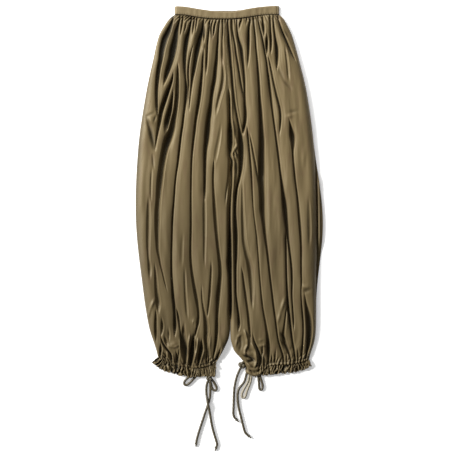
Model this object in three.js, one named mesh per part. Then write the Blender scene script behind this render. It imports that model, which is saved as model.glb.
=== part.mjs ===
// Harem pants of draped jersey, laid flat on a surface and seen from the front.
// Units are millimetres. +X is to the right of someone who looks at the front,
// +Y runs up to the waist and +Z rises from the surface that the back lies on.
// "across" is measured from the middle of the garment, "down" from the top of the waistband.

import * as THREE from "three";

// Driving sizes
const LENGTH = 1040;
const WALL = 1.2;
const SEAM_GAP = 0.3;
const HEM_GAP = 0.5;
const LAYER_GAP = 0.4;
const BAND_WALL = 1.8;
const RUFFLE_WALL = 1.0;
const LOWEST_FRONT = 2 * WALL + LAYER_GAP + 0.2;

// Where the waist gathers and the hem gathers begin and fade out
const WAIST_SEAM = 36;
const WAIST_GATHER = { depth: 4.5, full: 60, gone: 140 };
const HEM_SEAM = 1000;
const HEM_GATHER = { depth: 5, full: 975, gone: 905 };
const FOLD_FADE = 70;

// Cloth between two folds swells a little, by this share of its width
const PUFF_SHARE = 0.12;
const PUFF_MOST = 4;

// Height of the front as it lies: in the middle of a leg and at its inner edge
const LAY = [
  { down: 36, crown: 8.5, inner: 8 },
  { down: 60, crown: 12, inner: 11 },
  { down: 90, crown: 15, inner: 13.5 },
  { down: 150, crown: 18, inner: 15 },
  { down: 250, crown: 20, inner: 14 },
  { down: 400, crown: 22, inner: 11 },
  { down: 600, crown: 23, inner: 8 },
  { down: 800, crown: 21, inner: 7.5 },
  { down: 900, crown: 18, inner: 6 },
  { down: 950, crown: 15, inner: 5 },
  { down: 985, crown: 10, inner: 4.8 },
  { down: 1000, crown: 8, inner: 4.8 },
];
const SIDE_ROLL = 30;
const INNER_ROLL = 20;

// Each edge and fold is a line: its place across at every one of these distances down.
const STATIONS = [36, 90, 150, 250, 400, 600, 800, 900, 950, 1000];

// The two legs meet along the centre line and part from each other above the hems.
const CENTRE = [-13, -10, -7, -1, 3, 0, 3, 2, 2, 2];
const PARTING = [
  { down: 905, left: 0, right: 0 },
  { down: 930, left: -4, right: 3 },
  { down: 960, left: -16, right: 12 },
  { down: 985, left: -29, right: 27 },
  { down: 1000, left: -38, right: 37 },
];

// A fold is a trough of this depth between "from" and "to", and of depth "soft" elsewhere.
// "left" and "right" say how far its two slopes reach.
const LEFT_LEG = {
  side: [-167, -200, -214, -235, -256, -262, -241, -225, -213, -200],
  parting: "left",
  folds: [
    { depth: 10, from: 0, to: 300, soft: 3, left: 14, right: 9,
      across: [-160, -186, -193, -206, -214, -225, -218, -209, -199, -189] },
    { depth: 14, from: 0, to: 230, soft: 0, left: 12, right: 16,
      across: [-146, -155, -161, -189, -204, -218, -209, -202, -190, -178] },
    { depth: 8, from: 0, to: 390, soft: 1, left: 9, right: 14,
      across: [-132, -141, -147, -175, -195, -211, -195, -189, -179, -167] },
    { depth: 10, from: 220, to: 810, soft: 0, left: 16, right: 10,
      across: [-120, -127, -133, -144, -178, -203, -175, -178, -168, -155] },
    { depth: 7, from: 0, to: 200, soft: 0, left: 9, right: 9,
      across: [-109, -115, -123, -127, -161, -183, -168, -164, -155, -143] },
    { depth: 12, from: 0, to: 900, soft: 5, left: 14, right: 6,
      across: [-94, -99, -115, -120, -141, -158, -160, -144, -136, -127] },
    { depth: 10, from: 0, to: 340, soft: 2, left: 15, right: 12,
      across: [-80, -84, -94, -111, -123, -133, -136, -122, -115, -113] },
    { depth: 8, from: 0, to: 1000, soft: 8, left: 15, right: 9,
      across: [-67, -71, -74, -87, -105, -108, -92, -94, -104, -101] },
    { depth: 5, from: 0, to: 190, soft: 0, left: 8, right: 8,
      across: [-56, -60, -63, -71, -90, -92, -80, -83, -90, -90] },
    { depth: 4, from: 0, to: 120, soft: 0, left: 7, right: 7,
      across: [-45, -50, -53, -60, -78, -81, -69, -71, -77, -77] },
    { depth: 9, from: 0, to: 1000, soft: 9, left: 13, right: 8,
      across: [-34, -35, -38, -49, -67, -71, -56, -59, -63, -64] },
    { depth: 8, from: 0, to: 960, soft: 3, left: 15, right: 12,
      across: [-21, -21, -24, -27, -41, -38, -35, -38, -42, -50] },
  ],
};

const RIGHT_LEG = {
  side: [147, 176, 195, 218, 237, 245, 242, 242, 237, 223],
  parting: "right",
  folds: [
    { depth: 7, from: 0, to: 350, soft: 1, left: 9, right: 8,
      across: [-3, 0, 3, 11, 15, 8, 10, 13, 25, 50] },
    { depth: 6, from: 0, to: 270, soft: 1, left: 8, right: 8,
      across: [8, 10, 18, 32, 24, 14, 15, 21, 33, 59] },
    { depth: 11, from: 0, to: 930, soft: 4, left: 7, right: 15,
      across: [22, 24, 34, 43, 32, 20, 20, 29, 42, 67] },
    { depth: 4, from: 0, to: 120, soft: 2, left: 9, right: 9,
      across: [38, 39, 42, 53, 42, 35, 62, 57, 57, 77] },
    { depth: 10, from: 370, to: 960, soft: 0, left: 8, right: 16,
      across: [53, 55, 52, 64, 53, 69, 86, 99, 105, 97] },
    { depth: 11, from: 0, to: 960, soft: 4, left: 10, right: 16,
      across: [67, 71, 77, 81, 87, 91, 118, 130, 139, 130] },
    { depth: 9, from: 0, to: 830, soft: 3, left: 14, right: 9,
      across: [81, 91, 99, 113, 132, 155, 160, 153, 153, 150] },
    { depth: 6, from: 60, to: 960, soft: 2, left: 8, right: 8,
      across: [95, 104, 109, 130, 141, 165, 172, 169, 174, 169] },
    { depth: 4, from: 0, to: 150, soft: 0, left: 7, right: 7,
      across: [109, 115, 118, 144, 157, 178, 185, 185, 186, 183] },
    { depth: 10, from: 300, to: 960, soft: 2, left: 14, right: 10,
      across: [123, 127, 132, 162, 172, 192, 200, 203, 202, 196] },
    { depth: 11, from: 0, to: 180, soft: 4, left: 16, right: 9,
      across: [137, 151, 178, 200, 207, 220, 209, 217, 216, 209] },
  ],
};

// The back lies flat and shows as a lip beyond the front on its right side.
const BACK_LEFT = { parting: "left", side: LEFT_LEG.side };
const BACK_RIGHT = {
  parting: "right",
  side: [147, 176, 195, 218, 238, 261, 244, 242, 237, 223],
};

// Rows of points down a leg, closer together at the gathers
const FRONT_ROWS = [36, 44, 56, 74, 98, 130, 170, 215, 265, 320, 380, 440, 500, 560, 620,
  680, 740, 800, 850, 890, 920, 945, 965, 983, 1000];
const BACK_ROWS = [36, 90, 150, 210, 270, 340, 420, 500, 600, 700, 800, 870, 920, 950, 1000];
const BACK_COLUMNS = 14;

// The waist seam dips in the middle, and each hem seam has its own curve.
const WAIST_LINE = [
  { across: -170, down: 30 },
  { across: -95, down: 35 },
  { across: 0, down: 42 },
  { across: 72, down: 38 },
  { across: 150, down: 32 },
];
const LEFT_HEM_LINE = [
  { across: -205, down: 982 },
  { across: -153, down: 1000 },
  { across: -111, down: 1013 },
  { across: -83, down: 1015 },
  { across: -36, down: 1005 },
];
const RIGHT_HEM_LINE = [
  { across: 36, down: 1008 },
  { across: 52, down: 1020 },
  { across: 68, down: 1027 },
  { across: 86, down: 1021 },
  { across: 104, down: 1011 },
  { across: 130, down: 1005 },
  { across: 170, down: 1002 },
  { across: 211, down: 993 },
  { across: 226, down: 984 },
];
const WAIST_BEND = 110;
const HEM_BEND = 130;

// The waistband: its top edge down, and the height of its front above the surface
const BAND = [
  { across: -157.5, top: 0.5, height: 3.9 },
  { across: -155, top: 0, height: 8 },
  { across: -149, top: 0, height: 10.5 },
  { across: -115, top: 1, height: 10 },
  { across: -60, top: 11, height: 8.5 },
  { across: -4, top: 20.5, height: 7.5 },
  { across: 63, top: 10, height: 8.5 },
  { across: 110, top: 3, height: 10 },
  { across: 133, top: 1.2, height: 10.5 },
  { across: 139, top: 1, height: 8 },
  { across: 141.5, top: 1.4, height: 3.9 },
];
const BAND_COLUMNS = 40;
const BAND_SWELL = 1.2;
const BACK_BAND_PEEK = 3;

// Each hem ruffle: where its seam and its free edge run
const LEFT_RUFFLE = {
  waves: 22,
  seam: LEFT_HEM_LINE,
  rows: [
    { across: -201, edgeAcross: -216, edgeDown: 998 },
    { across: -180, edgeAcross: -189, edgeDown: 1012 },
    { across: -153, edgeAcross: -156, edgeDown: 1024 },
    { across: -111, edgeAcross: -111, edgeDown: 1038 },
    { across: -83, edgeAcross: -80, edgeDown: 1037 },
    { across: -60, edgeAcross: -58, edgeDown: 1034 },
    { across: -37, edgeAcross: -40, edgeDown: 1034 },
  ],
};
const RIGHT_RUFFLE = {
  waves: 17,
  seam: RIGHT_HEM_LINE,
  rows: [
    { across: 97, edgeAcross: 92, edgeDown: 1037 },
    { across: 130, edgeAcross: 128, edgeDown: 1031 },
    { across: 170, edgeAcross: 170, edgeDown: 1027 },
    { across: 205, edgeAcross: 208, edgeDown: 1016 },
    { across: 222, edgeAcross: 229, edgeDown: 1003 },
  ],
};
// Behind the knot on the right hem only the back ruffle runs on to the inner edge.
const RIGHT_BACK_RUFFLE = {
  waves: 22,
  seam: RIGHT_HEM_LINE,
  rows: [
    { across: 42, edgeAcross: 46, edgeDown: 1028 },
    { across: 70, edgeAcross: 70, edgeDown: 1037 },
    { across: 100, edgeAcross: 98, edgeDown: 1036 },
    { across: 130, edgeAcross: 128, edgeDown: 1031 },
    { across: 170, edgeAcross: 170, edgeDown: 1027 },
    { across: 205, edgeAcross: 208, edgeDown: 1016 },
    { across: 222, edgeAcross: 229, edgeDown: 1003 },
  ],
};
const RUFFLE_SEAM_HEIGHT = 6.8;
const RUFFLE_EDGE_HEIGHT = 6.6;
const RUFFLE_SEAM_WAVE = 1.2;
const RUFFLE_EDGE_WAVE = 3;
const RUFFLE_SCALLOP = 1.2;
const BACK_RUFFLE_SHORTER = 1.5;

// Drawstrings: where each tie lies, as across, down and height of its middle
const TIE_DIAMETER = 4.5;
const TIE_SIDES = 8;
const TIE_STEP = 11;
const LIE = TIE_DIAMETER / 2 + 0.05;
const TIES = [
  { name: "tie_left_long_right", knotted: true, route: [
    [-60.7, 1052.8, 5.6], [-63.4, 1063, 3.2], [-63.8, 1074, LIE], [-63.4, 1088, LIE],
    [-61.4, 1102, 6], [-59.4, 1113, 7.8], [-57.4, 1124, 6], [-55, 1140, LIE],
    [-52.4, 1159, LIE], [-49, 1179, LIE], [-44.4, 1197, LIE], [-40.4, 1213, LIE],
    [-37.6, 1228, LIE] ] },
  { name: "tie_left_long_left", knotted: true, route: [
    [-54.8, 1053.4, 5.6], [-52.6, 1063, 3.2], [-51.6, 1075, LIE], [-52, 1089, LIE],
    [-55.4, 1103, LIE], [-59.8, 1114, LIE], [-64, 1125, LIE], [-69.4, 1139, LIE],
    [-74.6, 1155, LIE], [-81.4, 1176, LIE], [-87.4, 1197, LIE], [-91.4, 1213, LIE] ] },
  { name: "tie_left_loop_outer", knotted: false, route: [
    [-101, 1041.6, LIE], [-109, 1046.6, LIE], [-118.6, 1051, LIE], [-125.4, 1056.6, LIE],
    [-125.6, 1063.6, LIE], [-119, 1066.4, LIE], [-111, 1062.6, LIE], [-102.6, 1054.6, LIE],
    [-94.6, 1047, LIE], [-91.4, 1040.6, LIE] ] },
  { name: "tie_left_loop_inner", knotted: false, route: [
    [-47.2, 1042.8, 5.6], [-40.4, 1045.4, 3.4], [-33, 1051.6, LIE], [-29.4, 1060.6, LIE],
    [-32.6, 1069.4, LIE], [-39.6, 1071.4, LIE], [-44.6, 1065.8, LIE], [-46.4, 1058.4, 3.4],
    [-49.8, 1050.7, 5.6] ] },
  { name: "tie_right_long_left", knotted: true, route: [
    [25, 1013.5, 5.6], [23.8, 1020.6, 3.2], [22.2, 1031, LIE], [18.9, 1045.4, LIE],
    [15.3, 1061.2, LIE], [13.4, 1077.4, LIE], [11.5, 1093.4, LIE], [10.2, 1109.6, LIE],
    [9.5, 1125.6, LIE], [10.4, 1141, LIE] ] },
  { name: "tie_right_long_right", knotted: true, route: [
    [45, 1028.8, LIE], [44.6, 1043.6, LIE], [41.2, 1052.6, LIE], [34, 1061.4, LIE],
    [27.6, 1070, LIE], [24.4, 1080, LIE], [23.2, 1092, LIE], [23.4, 1105, LIE],
    [26.2, 1122, LIE], [30, 1139, LIE], [34, 1155.6, LIE], [38, 1172, LIE],
    [41.6, 1187.6, LIE] ] },
  { name: "tie_right_loop_inner", knotted: false, route: [
    [53.4, 1032.3, LIE], [51.4, 1047, LIE], [46.6, 1058, LIE], [39.6, 1070.6, LIE],
    [34.8, 1082.6, LIE], [35.4, 1091.6, LIE], [42, 1094.4, LIE], [47.8, 1088.6, LIE],
    [51.6, 1076, LIE], [57, 1062.6, LIE], [60.6, 1050, LIE], [60.8, 1035.9, LIE] ] },
  { name: "tie_right_loop_outer", knotted: false, route: [
    [84.8, 1036.7, LIE], [90.6, 1048, LIE], [96.4, 1058.4, LIE], [97.8, 1068.6, LIE],
    [92.4, 1075.6, LIE], [84.6, 1075, LIE], [79.6, 1067.6, LIE], [78, 1055, LIE],
    [76.8, 1037.4, LIE] ] },
];
const END_KNOT = { across: 4.4, along: 5.4, height: 3.9 };
const HEM_KNOTS = [
  { name: "knot_left", across: -56.8, down: 1044.2, radius: 9, height: 5.9 },
  { name: "knot_right", across: 26, down: 1004.6, radius: 8.2, height: 5.9 },
];

const clamp = THREE.MathUtils.clamp;
const smoothstep = THREE.MathUtils.smoothstep;
const lerp = THREE.MathUtils.lerp;

// A smooth curve through values given at rising places, level beyond both ends
function through(places, values, at) {
  const last = places.length - 1;
  const spot = clamp(at, places[0], places[last]);
  let i = 0;
  while (i < last - 1 && spot > places[i + 1]) i += 1;
  const slope = (k) => {
    const before = Math.max(k - 1, 0);
    const after = Math.min(k + 1, last);
    return (values[after] - values[before]) / (places[after] - places[before]);
  };
  const span = places[i + 1] - places[i];
  const t = (spot - places[i]) / span;
  const rise = values[i + 1] - values[i];
  const start = slope(i) * span;
  const end = slope(i + 1) * span;
  return values[i] + start * t + (3 * rise - 2 * start - end) * t * t
    + (start + end - 2 * rise) * t * t * t;
}

// The same for one named column of a table, read at a value of another
function lookUp(table, key, at, column) {
  return through(table.map((row) => row[key]), table.map((row) => row[column]), at);
}

const placeAcross = (line, down) => through(STATIONS, line, down);
const heightOf = (down) => LENGTH / 2 - down;

// The inner edge of a leg, half a seam gap from the centre line
function innerEdge(leg, down) {
  const away = leg.parting === "left" ? -SEAM_GAP / 2 : SEAM_GAP / 2;
  return placeAcross(CENTRE, down) + lookUp(PARTING, "down", down, leg.parting) + away;
}

// How deep a fold is at a distance down, with the gathers of the waist and hem added
function foldDepth(fold, down) {
  const starts = fold.from > 0 ? smoothstep(down, fold.from - FOLD_FADE, fold.from + FOLD_FADE) : 1;
  const stops = 1 - smoothstep(down, fold.to - FOLD_FADE, fold.to + FOLD_FADE);
  const own = lerp(fold.soft, fold.depth, starts * stops);
  const waist = WAIST_GATHER.depth * (1 - smoothstep(down, WAIST_GATHER.full, WAIST_GATHER.gone));
  const hem = HEM_GATHER.depth * smoothstep(down, HEM_GATHER.gone, HEM_GATHER.full);
  return Math.max(own, waist, hem);
}

// A quarter round that rises from an edge over a given reach
function rolled(distance, reach) {
  const t = clamp(distance / reach, 0, 1);
  return Math.sqrt(1 - (1 - t) * (1 - t));
}

// Height of the laid front before its folds
function layHeight(leg, across, down) {
  const crown = lookUp(LAY, "down", down, "crown");
  const inner = lookUp(LAY, "down", down, "inner");
  const fromSide = Math.abs(across - placeAcross(leg.side, down));
  const fromInner = Math.abs(across - innerEdge(leg, down));
  const sideShare = rolled(fromSide, SIDE_ROLL);
  const innerShare = rolled(fromInner, INNER_ROLL);
  const towardsInner = lerp(inner, crown, innerShare);
  return lerp(LOWEST_FRONT, towardsInner, sideShare);
}

// One side of a trough, from its full depth to none at its reach
function troughSide(distance, reach) {
  const u = clamp(distance / reach, 0, 1);
  return (1 - u) * (1 - u) * (1 + 0.6 * u);
}

// Height of the front at a point: the lay, swollen between folds, with the troughs taken out
function frontHeight(leg, across, down, puff) {
  const lay = layHeight(leg, across, down) + puff;
  const room = lay - LOWEST_FRONT;
  let kept = 1;
  for (const fold of leg.folds) {
    const offset = across - placeAcross(fold.across, down);
    const reach = offset < 0 ? fold.left : fold.right;
    const share = clamp(foldDepth(fold, down) / Math.max(lay, 1), 0, 0.85);
    kept *= 1 - share * troughSide(Math.abs(offset), reach);
  }
  return LOWEST_FRONT + room * kept;
}

// Places across of the columns of a front at one distance down: each fold and its two shoulders
function frontColumns(leg, down) {
  const folds = leg.folds.map((fold) => placeAcross(fold.across, down));
  const edges = [placeAcross(leg.side, down), innerEdge(leg, down)];
  const places = [...edges, ...folds].sort((a, b) => a - b);
  const columns = [];
  for (let i = 0; i + 1 < places.length; i += 1) {
    const width = places[i + 1] - places[i];
    const puff = Math.min(PUFF_MOST, PUFF_SHARE * width);
    columns.push({ across: places[i], puff: 0 });
    columns.push({ across: places[i] + 0.33 * width, puff });
    columns.push({ across: places[i] + 0.67 * width, puff });
  }
  columns.push({ across: places[places.length - 1], puff: 0 });
  return columns;
}

// Seams curve, so rows near them follow the waist line above and the hem line below.
function bentDown(hemLine, across, down) {
  const waist = lookUp(WAIST_LINE, "across", across, "down") - WAIST_SEAM;
  const hem = lookUp(hemLine, "across", across, "down") - HEM_SEAM;
  const nearWaist = 1 - smoothstep(down, WAIST_SEAM, WAIST_SEAM + WAIST_BEND);
  const nearHem = smoothstep(down, HEM_SEAM - HEM_BEND, HEM_SEAM);
  return down + waist * nearWaist + hem * nearHem;
}

// A closed wall between two grids of points, the outer one on top
function wallBetween(outer, inner) {
  const rows = outer.length;
  const columns = outer[0].length;
  const points = [...outer.flat(), ...inner.flat()].flatMap((p) => [p.x, p.y, p.z]);
  const top = (r, c) => r * columns + c;
  const under = (r, c) => rows * columns + r * columns + c;
  const faces = [];
  for (let r = 0; r + 1 < rows; r += 1) {
    for (let c = 0; c + 1 < columns; c += 1) {
      faces.push(top(r, c), top(r + 1, c), top(r, c + 1));
      faces.push(top(r, c + 1), top(r + 1, c), top(r + 1, c + 1));
      faces.push(under(r, c), under(r, c + 1), under(r + 1, c));
      faces.push(under(r, c + 1), under(r + 1, c + 1), under(r + 1, c));
    }
  }
  const rim = [];
  for (let c = 0; c + 1 < columns; c += 1) rim.push([0, c]);
  for (let r = 0; r + 1 < rows; r += 1) rim.push([r, columns - 1]);
  for (let c = columns - 1; c > 0; c -= 1) rim.push([rows - 1, c]);
  for (let r = rows - 1; r > 0; r -= 1) rim.push([r, 0]);
  rim.forEach(([r, c], i) => {
    const [nextR, nextC] = rim[(i + 1) % rim.length];
    faces.push(top(r, c), top(nextR, nextC), under(r, c));
    faces.push(top(nextR, nextC), under(nextR, nextC), under(r, c));
  });
  const geometry = new THREE.BufferGeometry();
  geometry.setAttribute("position", new THREE.Float32BufferAttribute(points, 3));
  geometry.setIndex(faces);
  geometry.computeVertexNormals();
  return geometry;
}

// The inner grid of a wall: straight below the outer one, further where the cloth is steep
function wallUnder(outer, thickness, lowest) {
  const slopeOf = (r, c) => {
    const left = outer[r][Math.max(c - 1, 0)];
    const right = outer[r][Math.min(c + 1, outer[r].length - 1)];
    return (right.z - left.z) / Math.max(right.x - left.x, 0.1);
  };
  return outer.map((row, r) => row.map((p, c) => {
    const stretch = Math.min(Math.hypot(1, slopeOf(r, c)), 1.7);
    return new THREE.Vector3(p.x, p.y, Math.max(p.z - thickness * stretch, lowest));
  }));
}

function frontLeg(leg, hemLine) {
  const lowest = WALL + LAYER_GAP;
  const outer = FRONT_ROWS.map((down) => frontColumns(leg, down).map(({ across, puff }) => {
    const height = frontHeight(leg, across, down, puff);
    const lower = down === WAIST_SEAM ? SEAM_GAP : 0;
    return new THREE.Vector3(across, heightOf(bentDown(hemLine, across, down) + lower), height);
  }));
  return wallBetween(outer, wallUnder(outer, WALL, lowest));
}

function backLeg(leg, hemLine) {
  const outer = BACK_ROWS.map((down) => {
    const [left, right] = [placeAcross(leg.side, down), innerEdge(leg, down)].sort((a, b) => a - b);
    const lower = down === WAIST_SEAM ? SEAM_GAP : 0;
    return Array.from({ length: BACK_COLUMNS + 1 }, (_, c) => {
      const across = lerp(left, right, c / BACK_COLUMNS);
      return new THREE.Vector3(across, heightOf(bentDown(hemLine, across, down) + lower), WALL);
    });
  });
  const inner = outer.map((row) => row.map((p) => new THREE.Vector3(p.x, p.y, 0)));
  return wallBetween(outer, inner);
}

// Columns of the band, close together where its ends round over
function bandColumns() {
  const first = BAND[0].across;
  const last = BAND[BAND.length - 1].across;
  return Array.from({ length: BAND_COLUMNS + 1 }, (_, c) => {
    const t = c / BAND_COLUMNS;
    const eased = lerp(t, (1 - Math.cos(Math.PI * t)) / 2, 0.75);
    return lerp(first, last, eased);
  });
}

function bandRow(across, share, rise) {
  const top = lookUp(BAND, "across", across, "top") + rise;
  return lerp(top, lookUp(WAIST_LINE, "across", across, "down"), share);
}

function frontBand() {
  const shares = [0, 0.12, 0.5, 0.88, 1];
  const outer = shares.map((share) => bandColumns().map((across) => {
    const swell = BAND_SWELL * Math.sin(Math.PI * share);
    const height = lookUp(BAND, "across", across, "height") + swell - BAND_SWELL;
    const floor = 2 * BAND_WALL + LAYER_GAP;
    return new THREE.Vector3(across, heightOf(bandRow(across, share, 0)), Math.max(height, floor));
  }));
  return wallBetween(outer, wallUnder(outer, BAND_WALL, BAND_WALL + LAYER_GAP / 2));
}

function backBand() {
  const edge = (across) => -BACK_BAND_PEEK * Math.exp(-((across / 45) ** 2));
  const outer = [0, 1].map((share) => bandColumns().map((across) => (
    new THREE.Vector3(across, heightOf(bandRow(across, share, edge(across))), BAND_WALL)
  )));
  const inner = outer.map((row) => row.map((p) => new THREE.Vector3(p.x, p.y, 0)));
  return wallBetween(outer, inner);
}

// A point of a ruffle: "share" runs along it and "fall" from its seam to its free edge
function rufflePoint(ruffle, share, fall, shorter) {
  const places = ruffle.rows.map((_, i) => i / (ruffle.rows.length - 1));
  const read = (column) => through(places, ruffle.rows.map((row) => row[column]), share);
  const seamAcross = read("across");
  const seamDown = lookUp(ruffle.seam, "across", seamAcross, "down") + HEM_GAP;
  const across = lerp(seamAcross, read("edgeAcross"), fall);
  return { across, down: lerp(seamDown, read("edgeDown") - shorter, fall) };
}

function frontRuffle(ruffle) {
  const columns = ruffle.waves * 4;
  const outer = [0, 0.5, 1].map((fall) => Array.from({ length: columns + 1 }, (_, c) => {
    const share = c / columns;
    const { across, down } = rufflePoint(ruffle, share, fall, 0);
    const phase = share * ruffle.waves * 2 * Math.PI + Math.sin(share * 17) * 0.5;
    const wave = lerp(RUFFLE_SEAM_WAVE, RUFFLE_EDGE_WAVE, fall) * Math.sin(phase);
    const scallop = RUFFLE_SCALLOP * fall * Math.cos(phase);
    const height = lerp(RUFFLE_SEAM_HEIGHT, RUFFLE_EDGE_HEIGHT, fall) + wave;
    return new THREE.Vector3(across, heightOf(down + scallop), height);
  }));
  return wallBetween(outer, wallUnder(outer, RUFFLE_WALL, WALL + LAYER_GAP));
}

// The back ruffle lies flat on the surface, so its waves show in its thickness and its edge.
function backRuffle(ruffle) {
  const columns = ruffle.waves * 4;
  const outer = [0, 1].map((fall) => Array.from({ length: columns + 1 }, (_, c) => {
    const share = c / columns;
    const { across, down } = rufflePoint(ruffle, share, fall, BACK_RUFFLE_SHORTER);
    const phase = share * ruffle.waves * 2 * Math.PI;
    const scallop = RUFFLE_SCALLOP * fall * Math.sin(phase);
    const height = WALL - 0.1 * (1 + Math.cos(phase));
    return new THREE.Vector3(across, heightOf(down + scallop), height);
  }));
  const inner = outer.map((row) => row.map((p) => new THREE.Vector3(p.x, p.y, 0)));
  return wallBetween(outer, inner);
}

const spot = ([across, down, height]) => new THREE.Vector3(across, heightOf(down), height);

function tie(route) {
  const path = new THREE.CatmullRomCurve3(route.map(spot), false, "centripetal");
  const section = new THREE.Shape();
  for (let i = 0; i < TIE_SIDES; i += 1) {
    const turn = (i / TIE_SIDES) * 2 * Math.PI;
    const x = (TIE_DIAMETER / 2) * Math.cos(turn);
    const y = (TIE_DIAMETER / 2) * Math.sin(turn);
    if (i === 0) section.moveTo(x, y);
    else section.lineTo(x, y);
  }
  section.closePath();
  const steps = Math.round(path.getLength() / TIE_STEP);
  return new THREE.ExtrudeGeometry(section, { steps, extrudePath: path, bevelEnabled: false });
}

// A knot at the free end of a tie, just past its last point and in line with it
function endKnot(route) {
  const end = spot(route[route.length - 1]);
  const along = end.clone().sub(spot(route[route.length - 2])).setZ(0).normalize();
  const geometry = new THREE.SphereGeometry(1, 10, 7);
  geometry.scale(END_KNOT.along, END_KNOT.across, END_KNOT.height);
  geometry.rotateZ(Math.atan2(along.y, along.x));
  const middle = end.addScaledVector(along, END_KNOT.along + SEAM_GAP);
  geometry.translate(middle.x, middle.y, END_KNOT.height + 0.05);
  return geometry;
}

function hemKnot(knot) {
  const geometry = new THREE.SphereGeometry(1, 14, 9);
  geometry.scale(knot.radius, knot.radius, knot.height);
  geometry.translate(knot.across, heightOf(knot.down), knot.height + 0.05);
  return geometry;
}

function cloth(colour, roughness) {
  return new THREE.MeshStandardMaterial({ color: colour, roughness, metalness: 0 });
}

const pants = new THREE.Group();
function add(name, geometry, material) {
  const mesh = new THREE.Mesh(geometry, material);
  mesh.name = name;
  pants.add(mesh);
}

add("waistband_front", frontBand(), cloth(0x8f8060, 0.7));
add("waistband_back", backBand(), cloth(0x7a6d52, 0.7));
add("front_left_leg", frontLeg(LEFT_LEG, LEFT_HEM_LINE), cloth(0x82724f, 0.55));
add("front_right_leg", frontLeg(RIGHT_LEG, RIGHT_HEM_LINE), cloth(0x82724f, 0.55));
add("back_left_leg", backLeg(BACK_LEFT, LEFT_HEM_LINE), cloth(0x75674a, 0.6));
add("back_right_leg", backLeg(BACK_RIGHT, RIGHT_HEM_LINE), cloth(0x75674a, 0.6));
add("ruffle_left_front", frontRuffle(LEFT_RUFFLE), cloth(0x7c6c4a, 0.6));
add("ruffle_right_front", frontRuffle(RIGHT_RUFFLE), cloth(0x7c6c4a, 0.6));
add("ruffle_left_back", backRuffle(LEFT_RUFFLE), cloth(0x6e6044, 0.6));
add("ruffle_right_back", backRuffle(RIGHT_BACK_RUFFLE), cloth(0x6e6044, 0.6));
for (const knot of HEM_KNOTS) add(knot.name, hemKnot(knot), cloth(0x5f5238, 0.6));
for (const { name, knotted, route } of TIES) {
  add(name, tie(route), cloth(0x5f5238, 0.6));
  if (knotted) add(`${name}_knot`, endKnot(route), cloth(0x5f5238, 0.6));
}

export default pants;
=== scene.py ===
"""The looks of a pair of harem pants, laid flat and seen from the front.

Sizes are written in millimetres and turned into metres as meshes are made. "across" is measured
from the middle of the garment, to the right of the picture, and "down" from the waistband's top.
"""

from __future__ import annotations

import logging
import math
from dataclasses import dataclass
from enum import Enum

import bpy
import numpy as np
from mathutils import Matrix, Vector

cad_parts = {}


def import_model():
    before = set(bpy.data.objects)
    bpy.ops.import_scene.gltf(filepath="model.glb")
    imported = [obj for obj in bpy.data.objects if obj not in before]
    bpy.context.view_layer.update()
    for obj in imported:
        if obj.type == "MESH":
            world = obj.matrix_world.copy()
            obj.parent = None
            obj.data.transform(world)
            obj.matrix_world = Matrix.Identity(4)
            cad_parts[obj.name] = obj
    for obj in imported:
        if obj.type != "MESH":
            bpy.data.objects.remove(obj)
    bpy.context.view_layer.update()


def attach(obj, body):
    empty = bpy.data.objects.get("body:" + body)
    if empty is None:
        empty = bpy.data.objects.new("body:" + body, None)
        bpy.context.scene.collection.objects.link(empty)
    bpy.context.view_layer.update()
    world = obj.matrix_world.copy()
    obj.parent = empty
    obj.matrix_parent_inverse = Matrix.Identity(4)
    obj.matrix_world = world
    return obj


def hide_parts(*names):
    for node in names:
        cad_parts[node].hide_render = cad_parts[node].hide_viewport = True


LOG = logging.getLogger("harem_pants")

MM = 0.001
LENGTH = 1040.0
WALL = 1.2
BAND_WALL = 1.8
RUFFLE_WALL = 1.0
LAYER_GAP = 0.4
LOWEST_FRONT = 2 * WALL + LAYER_GAP + 0.2
SEAM_GAP = 0.3
GAP_OPENS = (860, 905)
HEM_GAP = 0.5
WAIST_SEAM = 36.0
HEM_SEAM = 1000.0
BENT_BELOW_WAIST = 110.0
BENT_ABOVE_HEM = 130.0
STATIONS = (36, 90, 150, 250, 400, 600, 800, 900, 950, 1000)

Array = np.ndarray


def through(places: Array, values: Array, at: Array) -> Array:
    """Reads a smooth curve through values given at rising places, level beyond both ends.

    Args:
        places: Where the values are given, rising.
        values: The values there.
        at: Where the curve is read.

    Returns:
        The curve's value at each place asked for.
    """
    places = np.asarray(places, float)
    values = np.asarray(values, float)
    spot = np.clip(np.asarray(at, float), places[0], places[-1])
    i = np.clip(np.searchsorted(places, spot) - 1, 0, len(places) - 2)
    before = np.maximum(np.arange(len(places)) - 1, 0)
    after = np.minimum(np.arange(len(places)) + 1, len(places) - 1)
    slopes = (values[after] - values[before]) / (places[after] - places[before])
    span = places[i + 1] - places[i]
    t = (spot - places[i]) / span
    rise = values[i + 1] - values[i]
    start = slopes[i] * span
    end = slopes[i + 1] * span
    square = (3 * rise - 2 * start - end) * t**2
    return values[i] + start * t + square + (start + end - 2 * rise) * t**3


def smoothstep(low: float, high: float, at: Array) -> Array:
    """Rises smoothly from 0 at low to 1 at high."""
    t = np.clip((np.asarray(at, float) - low) / (high - low), 0, 1)
    return t * t * (3 - 2 * t)


def blend(a: Array, b: Array, share: Array) -> Array:
    """Mixes a and b by a share from 0 to 1."""
    return a + (b - a) * share


def rolled(distance: Array, reach: float) -> Array:
    """Gives a quarter round that rises from 0 at an edge to 1 at its reach."""
    t = np.clip(distance / reach, 0, 1)
    return np.sqrt(1 - (1 - t) ** 2)


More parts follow.
